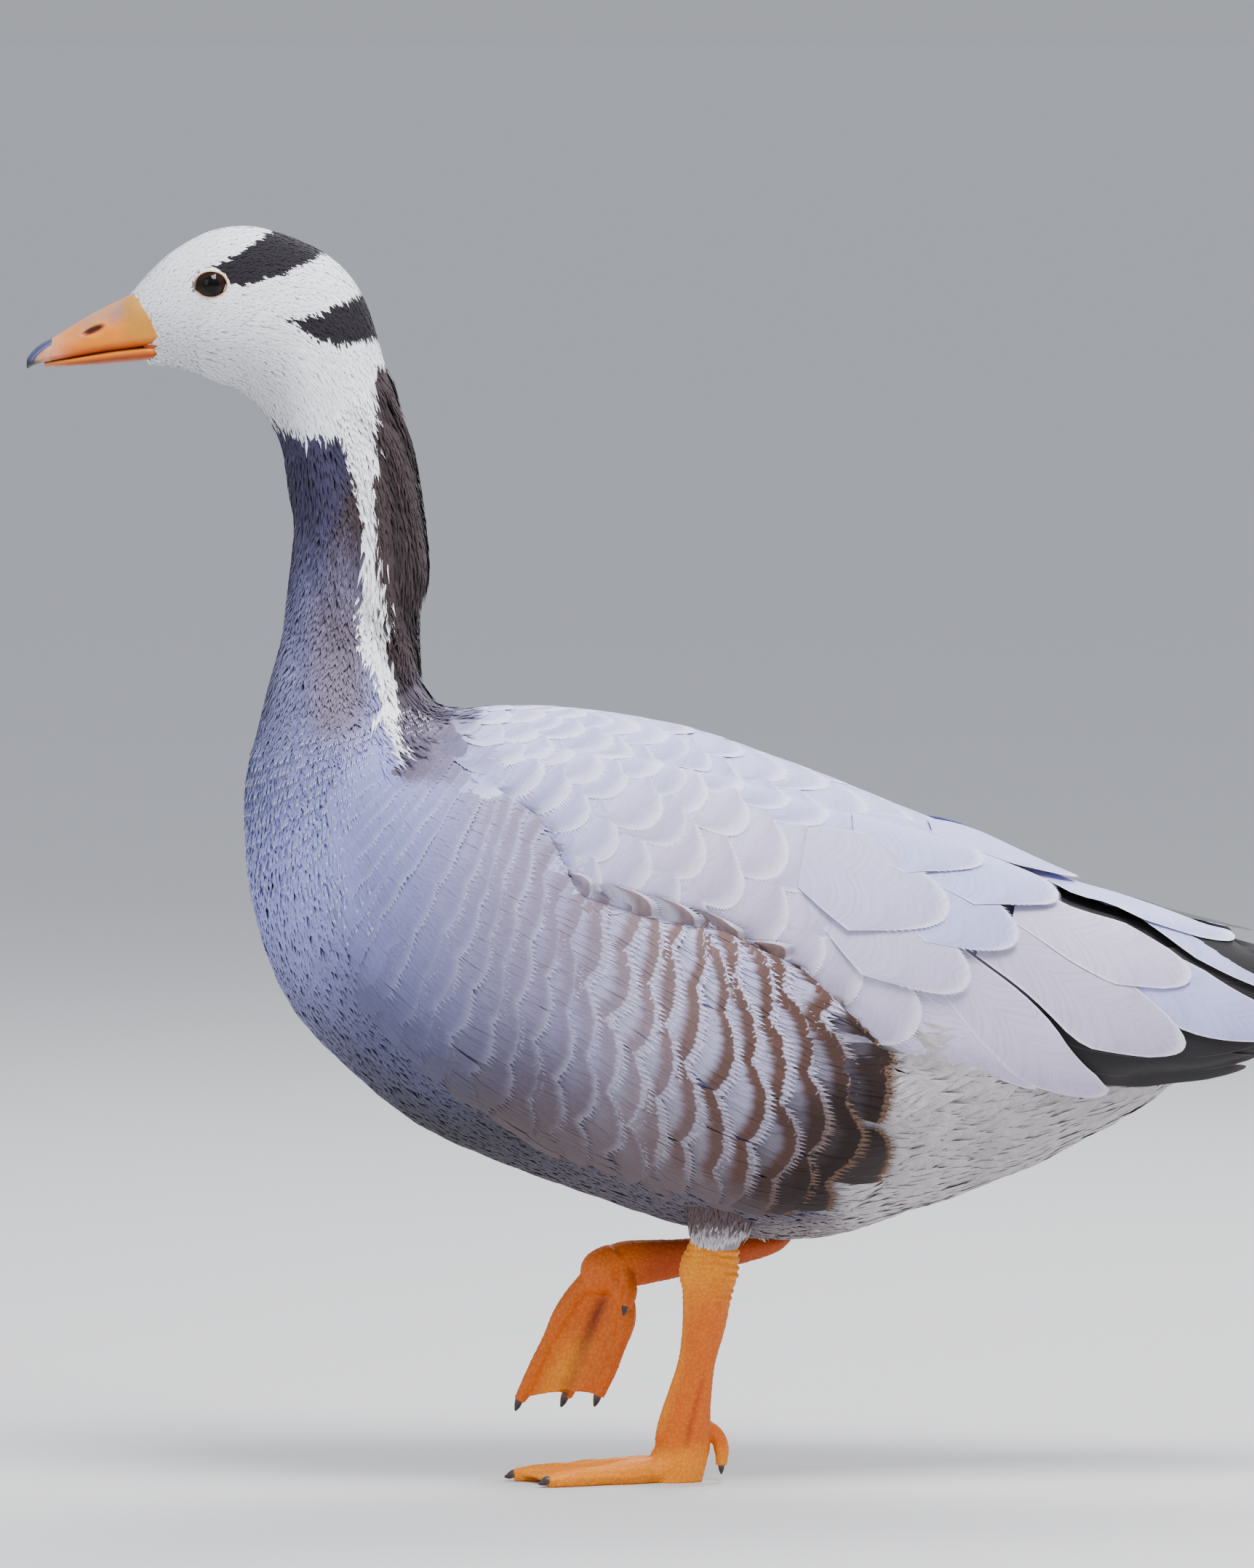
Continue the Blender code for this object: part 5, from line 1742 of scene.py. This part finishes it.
# Painted shade for the legs' folds, grooves and creases, and for the raised shank.
LEG_SHADE = colour(176, 64, 0)


def toe_path(yaw, length):
    """Points along a toe of the standing foot, turned yaw degrees to the right."""
    turn = math.radians(yaw)
    rise = (5.4, 4.9, 4.3, 3.8, 3.3, 2.6)
    return [(9 - math.cos(turn) * length * s, -1.5 + math.sin(turn) * length * s, high)
            for s, high in zip(np.linspace(0, 1, 6), rise)]


STANDING = {
    "side": "left", "floor": 0.05, "toe_radii": (6.4, 5.8, 5.0, 4.4, 3.8, 3.1), "web": 0.75,
    "thigh": [(28, -40, 150), (28, -34, 122), (26.5, -29, 108), (25.6, -26.8, 101.0)],
    "thigh_radii": [(24, 16), (17, 14), (13, 12), (10.9, 9.7)],
    "shank": [(25.2, -26.6, 105), (24.0, -25.8, 97), (22.2, -25, 89), (21.6, -23, 80),
              (20.2, -19.5, 66), (17.4, -14.6, 51), (14.6, -10.2, 37), (12.8, -6.8, 27),
              (11.8, -4.2, 19.5), (11.4, -2.6, 13.5), (10.0, -2.0, 6.0)],
    "shank_radii": [(9.2, 8.0), (10.8, 8.2), (12.2, 8.4), (10.2, 7.2), (8.8, 6.0),
                    (7.6, 5.4), (8.9, 5.8), (10.4, 6.6), (11.3, 7.4), (11.2, 7.8),
                    (9.5, 7.5)],
    "joint": [(11.4, -2.4, 12.6), (9, -2, 6), (7, -1.5, -2)],
    "joint_radii": [(11, 7.6), (11.8, 8.2), (11.4, 8.2)],
    "inner": toe_path(27, 50), "middle": toe_path(1, 66), "outer": toe_path(-26, 58),
    "hind": [(19, -2.4, 23), (25.4, -1.6, 19.5), (27.6, -0.8, 13.5), (27.6, -0.4, 6.6)],
}
SWINGING = {
    "side": "right", "floor": None, "toe_radii": (5.8, 4.6, 3.8, 3.3, 3.0, 2.7), "web": 1.5,
    "thigh": [(22, 40, 140), (36, 35, 118), (47, 31, 102)],
    "thigh_radii": [(24, 18), (15, 13), (7.8, 7.6)],
    "shank": [(57, 30.5, 98.5), (50, 30, 96.2), (36, 29, 93.8), (12, 27.5, 90.4),
              (-4, 26.3, 88.6), (-14, 25.2, 87.2), (-22, 24.4, 83.0)],
    "shank_radii": [(0.6, 0.8), (3.8, 5.0), (6.0, 6.0), (7.7, 5.6), (9.2, 6.0), (9.5, 7.0),
                    (7.5, 6.8)],
    "joint": [(-14, 24.6, 91), (-21, 24.2, 84), (-24, 24, 76)],
    "joint_radii": [(7, 6.5), (10.2, 7.4), (5, 5)],
    "inner": [(-20, 23, 85), (-13, 21, 74.5), (-12, 19.5, 64.5), (-15, 18.6, 54),
              (-19, 18.2, 44), (-23, 18, 34.5)],
    "middle": [(-21, 24, 85), (-31, 24, 77), (-38, 24, 67), (-44, 24, 55.5),
               (-49.5, 24, 44), (-55.5, 24, 32)],
    "outer": [(-20, 25, 84), (-21, 28.5, 73), (-23.5, 31.5, 62.5), (-27, 33.5, 52),
              (-31.5, 34.5, 42), (-36.5, 34.8, 32.5)],
    "hind": [(-13, 21.5, 85), (-10.6, 18.4, 81), (-10.4, 15.4, 76), (-12, 13.6, 71)],
}
HIND_RADII = [(4.2, 3.8), (3.1, 2.9), (3.1, 2.9), (2.3, 2.1)]


def tube_points(path, radii, along, across):
    """A grid of points over a whole tube."""
    tube = Tube(path, radii)
    t, a = np.meshgrid(np.linspace(0, tube.span[1], along), turns(across), indexing="ij")
    return tube.point(t, a)


def web_points(first, second, thick):
    """A membrane between two toes, with a scooped free edge and a slack middle."""
    first, second = np.array(first, float), np.array(second, float)
    top, bottom = [], []
    for across in np.linspace(0, 1, 15):
        bulge = math.sin(math.pi * across)
        t = np.linspace(0.0, 5 * (1 - 0.05 * bulge), 30)
        p, q = curve(first, t), curve(second, t)
        middle = p + (q - p) * across
        normal = np.cross(curve(first, t + 0.05) - p, q - p)
        normal /= np.maximum(norm(normal), 1e-9)[:, None]
        # It faces up on the foot that stands, and forward on the raised one.
        facing = normal[:, 2:3] if abs(normal[5, 2]) > 0.5 else -normal[:, 0:1]
        normal *= np.sign(facing + 1e-6)
        slack = 0.9 * bulge * np.sin(across * 9)
        half = (0.75 + (thick - 0.75) * step(5.0, 3.0, t))[:, None]
        top.append(middle + normal * (half + 0.3 * slack))
        bottom.append(middle - normal * (half - 0.3 * slack))
    return np.concatenate([np.array(top), np.array(bottom)[:, ::-1]], axis=1)


def toe_fold(x, z, width):
    """The fold between the toes of the raised foot."""
    return bell(x, -17 - 0.42 * (84 - z), width) * step(80, 70, z)


def shin_groove(x, z, width):
    """The groove down the side of the standing shank."""
    return bell(x, np.interp(z, [12, 20, 40, 60], [12.5, 14, 19, 23]), width)


def leg_tint(x, y, z, leg):
    """Orange, paler on the toes, with a painted highlight on the shin and painted shade in the
    folds and on the raised shank.
    """
    if leg is SWINGING:
        # Painted shade in the fold between the toes and on the raised shank under the body; warm is
        # a paler streak on the toes.
        warm = bell(x, -40 - 0.4 * (40 - z), 7) * step(66, 44, z)
        return paint(LEG_ORANGE, (LEG_SHADE * 0.5, 0.9 * toe_fold(x, z, 2.6)),
                     (LEG_LIGHT, 0.75 * warm),
                     (LEG_SHADE * 0.8, 0.75 * step(-16, 4, x) * step(76, 84, z)))
    # Painted light and shade on the standing shank: the pale line down the front of the shin is a
    # painted highlight, and the groove and the creases near its top get painted shade.
    shin = np.interp(z, [13.5, 27, 51, 80, 97], [0.5, 3.0, 10.2, 12.2, 17.0])
    groove = shin_groove(x, z, 1.3) * step(52, 36, z) * step(10, 16, z) * (y < -2)
    crease = step(0.4, 1.0, np.sin(z * 1.9 + 0.35 * x)) * step(72, 80, z) * step(24, 27, x)
    crease = crease + 0.4 * step(0.2, -0.9, np.sin(z * 2.6)) * step(74, 82, z)
    return paint(LEG_ORANGE, (LEG_LIGHT, 0.5 * bell(x, shin, 2.2) * step(16, 24, z)),
                 (LEG_SHADE, 0.6 * groove), (LEG_SHADE, 0.5 * crease),
                 (LEG_LIGHT, 0.75 * step(66, 94, z)), (LEG_LIGHT, 0.6 * step(20, 8, z)))


def leg_creases(x, y, z, normal, leg):
    """How far the skin of a leg stands in or out, in mm."""
    if leg is SWINGING:
        return -0.8 * toe_fold(x, z, 2.4)
    heel = 0.35 * np.sin(z * 1.9 + 0.35 * x) * step(70, 80, z) * step(20, 27, x)
    rings = 0.16 * np.sin(z * 2.6) * step(74, 82, z)
    shin = step(-1, -4, x - np.interp(z, [27, 80], [3, 12.2]))
    shields = 0.1 * np.sin(z * 2.2 + 0.6 * np.sin(y)) * shin
    groove = 0.9 * shin_groove(x, z, 1.6) * step(56, 34, z) * step(9, 15, z)
    ankle = 0.6 * bell(x, 24.8, 1.4) * step(80, 92, z)
    return heel + rings + shields - groove * (np.abs(normal[:, 1]) > 0.3) - ankle


def toe_end(path):
    """The last point of a toe and the way it points."""
    path = np.array(path, float)
    return path[-1], (path[-1] - path[-2]) / norm(path[-1] - path[-2])


# Grain of the even mesh in mm, its smoothing rounds, and the scales raised on it.
VOXEL = 0.62
SMOOTHINGS = 9
SCALES_PER_M = 560.0
SCALE_HEIGHT = 0.22 * MM


def build_leg(leg):
    """Shank, foot and webs as one skin with raised scales."""
    side, floor = leg["side"], leg["floor"]
    limbs = [tube_points(leg["shank"], leg["shank_radii"], 60, 40)]
    for name in TOES:
        end, ahead = toe_end(leg[name])
        radii = [(r, r) for r in (*leg["toe_radii"], 2.0)]
        points = tube_points([*leg[name], end + 0.6 * ahead], radii, 50, 28)
        knuckles = 1 + 0.07 * np.cos(np.linspace(0, 6 * math.pi, 50))[:, None, None]
        middle = points.mean(axis=1, keepdims=True)
        limbs.append(middle + (points - middle) * knuckles)
    limbs += [web_points(leg[first], leg[second], leg["web"])
              for first, second in zip(TOES, TOES[1:])]
    limbs.append(tube_points(leg["joint"], leg["joint_radii"], 20, 28))
    limbs.append(tube_points(leg["hind"], HIND_RADII, 26, 24))
    work = bmesh.new()
    for points in limbs:
        mesh = grid_mesh("limb", points)
        work.from_mesh(mesh)
        bpy.data.meshes.remove(mesh)
    mesh = bpy.data.meshes.new("leg_" + side)
    work.to_mesh(mesh)
    work.free()
    rough = new_object("leg_rough", mesh)
    remesh = rough.modifiers.new("remesh", "REMESH")
    remesh.mode = "VOXEL"
    remesh.voxel_size = VOXEL * MM
    smooth = rough.modifiers.new("smooth", "SMOOTH")
    smooth.iterations, smooth.factor = SMOOTHINGS, 0.5
    even = evaluated_copy(rough, "leg_even")
    mesh = even.data
    place, normal = read(mesh.vertices, "co", 3) / MM, read(mesh.vertices, "normal", 3)
    tint = leg_tint(*place.T, leg)
    place = place + normal * leg_creases(*place.T, normal, leg)[:, None]
    lowest = -math.inf if floor is None else floor
    place[:, 2] = np.maximum(place[:, 2], lowest)
    mesh.vertices.foreach_set("co", (place * MM).ravel())
    put_attribute(mesh, "tint", tint)
    made = run_nodes(even, scaly_skin, "leg_skin_" + side, leg_skin,
                     {"Cells": SCALES_PER_M, "Height": SCALE_HEIGHT, "Finish": leg_skin})
    if floor is not None:
        place = read(made.data.vertices, "co", 3)
        place[:, 2] = np.maximum(place[:, 2], 0.0)
        made.data.vertices.foreach_set("co", place.ravel())
    made.data.shade_smooth()
    piece(made, "bare_skin_orange", "shank_" + side, "foot_" + side, "hind_toe_" + side)


def build_claws(leg):
    """A dark curved claw at the end of each toe, pale at its root."""
    side, floor = leg["side"], leg["floor"]
    for name in (*TOES, "hind"):
        hind = name == "hind"
        end, ahead = toe_end(leg[name])
        length = CLAW * (0.42 if hind else 0.64)
        base, bend = end - ahead * 0.8, np.array([0, 0, -0.12 * length])
        points = [base, base + ahead * length * 0.4 + [0, 0, 0.5],
                  base + ahead * length * 0.8 + bend * 0.5, base + ahead * (length + 0.8) + bend]
        radii = np.array([(1.9, 2.3), (1.8, 2.0), (1.3, 1.4), (0.4, 0.45)])
        shape = tube_points(points, radii * (0.8 if hind else 1.0), 26, 24)
        if floor is not None:
            shape[..., 2] = np.maximum(shape[..., 2], floor)

        def claw_tint(*place):
            far = norm(np.stack(place, -1) - base) / length
            return mix(colour(150, 112, 88), colour(52, 42, 42), step(0.1, 0.8, far))

        shell(f"claw_fine_{name}_{side}", shape, claw_tint, horn, "claw_horn",
              f"claw_{name}_{side}")


# How deep the thigh's feathers are, in mm.
THIGH_COAT = 1.6


class ThighSurface(Tube):
    """A thigh's skin, as deep under its feathers as their coat is thick."""

    def point(self, t, a, lift=0.0):
        return super().point(t, a, np.asarray(lift) - THIGH_COAT)


def coat_thigh(leg):
    """Short pale feathers down to the ankle, where they end in a ragged skirt."""
    side = leg["side"]
    surface = ThighSurface(leg["thigh"], leg["thigh_radii"])
    plan = Plan("thigh_plan", surface, 80, 80, before=0.3, after=4.0)
    points = tube_points(leg["thigh"], np.array(leg["thigh_radii"]) - THIGH_COAT, 30, 40)
    shell("thigh_skin_" + side, points, colour(150, 142, 148), down, "plumage_white",
          "thigh_" + side)
    roots = rows_of(plan, 0.2, surface.span[1] - 0.04, 1.5, 0.85, 0.3)
    x, _, z = places(plan, roots)
    mask = z > np.interp(x, [14, 25, 37], [104.5, 102.5, 107]) - 40 * (side == "right")
    roots, z = keep(roots, mask), z[mask]
    count = len(z)
    roots.update(length=rng.uniform(6.0, 8.0, count), width=rng.uniform(1.1, 1.7, count),
                 lift=rng.uniform(1.5, 2.1, count), turn=rng.normal(0, 0.1, count))
    tint = mix(colour(204, 200, 206), colour(92, 76, 78),
               step(104, 114, z + rng.normal(0, 2, count)))
    tint = vary(tint, 0.05)
    dress(roots, tint, paler(tint, 1.08), tint, (0.3, 0, 7))
    lay("coat_thigh_" + side, plan, wisp, roots, fine_vane, "plumage_white", ruffle=0.12)
    bpy.data.objects.remove(plan.helper)


# ---- studio

def aimed(name, data, place, target):
    """A lamp or camera at a place, turned to its target."""
    made = new_object(name, data)
    made.location = place
    made.rotation_euler = (target - made.location).to_track_quat("-Z", "Y").to_euler()
    return made


def studio():
    """A pale floor, a soft sky and three large lamps."""
    floor = bpy.data.meshes.new("floor")
    reach = 400
    floor.from_pydata([(-reach, -reach, 0), (reach, -reach, 0), (reach, reach, 0),
                       (-reach, reach, 0)], [], [(0, 1, 2, 3)])
    matt, _, _ = new_material("studio floor",
                              {"Roughness": 0.9, "Base Color": (0.56, 0.56, 0.56)})
    new_object("floor", floor, matt)
    world = bpy.data.worlds.new("studio")
    world.use_nodes = True
    g = Nodes(world.node_tree)
    height = g.split(g.add("ShaderNodeTexCoord", {}, "Generated"))["Z"]
    sky = g.mix(g.remap(height, 0.0, 0.5), (0.466, 0.487, 0.535), (0.82, 0.86, 0.96))
    g.feed(world.node_tree.nodes["Background"].inputs, {"Color": sky, "Strength": 0.9})
    bpy.context.scene.world = world
    for name, place, size, power in (("key", (0.5, -1.0, 2.3), 1.1, 100),
                                     ("fill", (-1.6, -1.8, 1.1), 1.6, 14),
                                     ("rim", (0.6, 1.6, 2.0), 1.2, 60)):
        light = bpy.data.lights.new(name, "AREA")
        light.size = size
        light.energy = power
        aimed(name, light, place, Vector((0, 0, 0.28)))


def camera():
    """Level with the bird's side, a long lens, and the tail's tip out of the frame."""
    lens = bpy.data.cameras.new("camera")
    lens.sensor_fit = "VERTICAL"
    lens.sensor_height = 24.0
    distance, height = 6.0, 0.6468
    lens.lens = lens.sensor_height * distance / height
    lens.clip_end = 1000
    aim = Vector((-0.0114, 0, 0.2886))
    rise = math.radians(3.0)
    place = aim + Vector((0, -math.cos(rise), math.sin(rise))) * distance
    bpy.context.scene.camera = aimed("camera", lens, place, aim)


tail_plan = Plan("tail_plan", TailSheet(), 60, 60, before=0.6, after=0.4)
coat_head()
coat_neck()
coat_breast()
coat_breast_fringes()
coat_flanks()
coat_flank_top()
coat_vent()
coat_back()
coat_wing()
wing_skin("left")
wing_skin("right")
coat_tail()
skin_grain = skin_grain_group()
scaly_skin = scaly_tree()
bill_skin = bare_material("bill_skin", 0.4, 900.0, 0.00012, 0.05)
lid_skin = bare_material("lid_skin", 0.5, 1500.0, 0.0001, 0.1)
horn = bare_material("horn", 0.35, 300.0, 0.0001, 0.3)
leg_skin = leg_material()
eye_gloss = eye_material()
build_bill()
build_bill_base()
build_eyes()
for leg in (STANDING, SWINGING):
    build_leg(leg)
    build_claws(leg)
    coat_thigh(leg)
studio()
camera()
for helper in templates + [body_plan.helper, wing_plan.helper, tail_plan.helper]:
    bpy.data.objects.remove(helper)
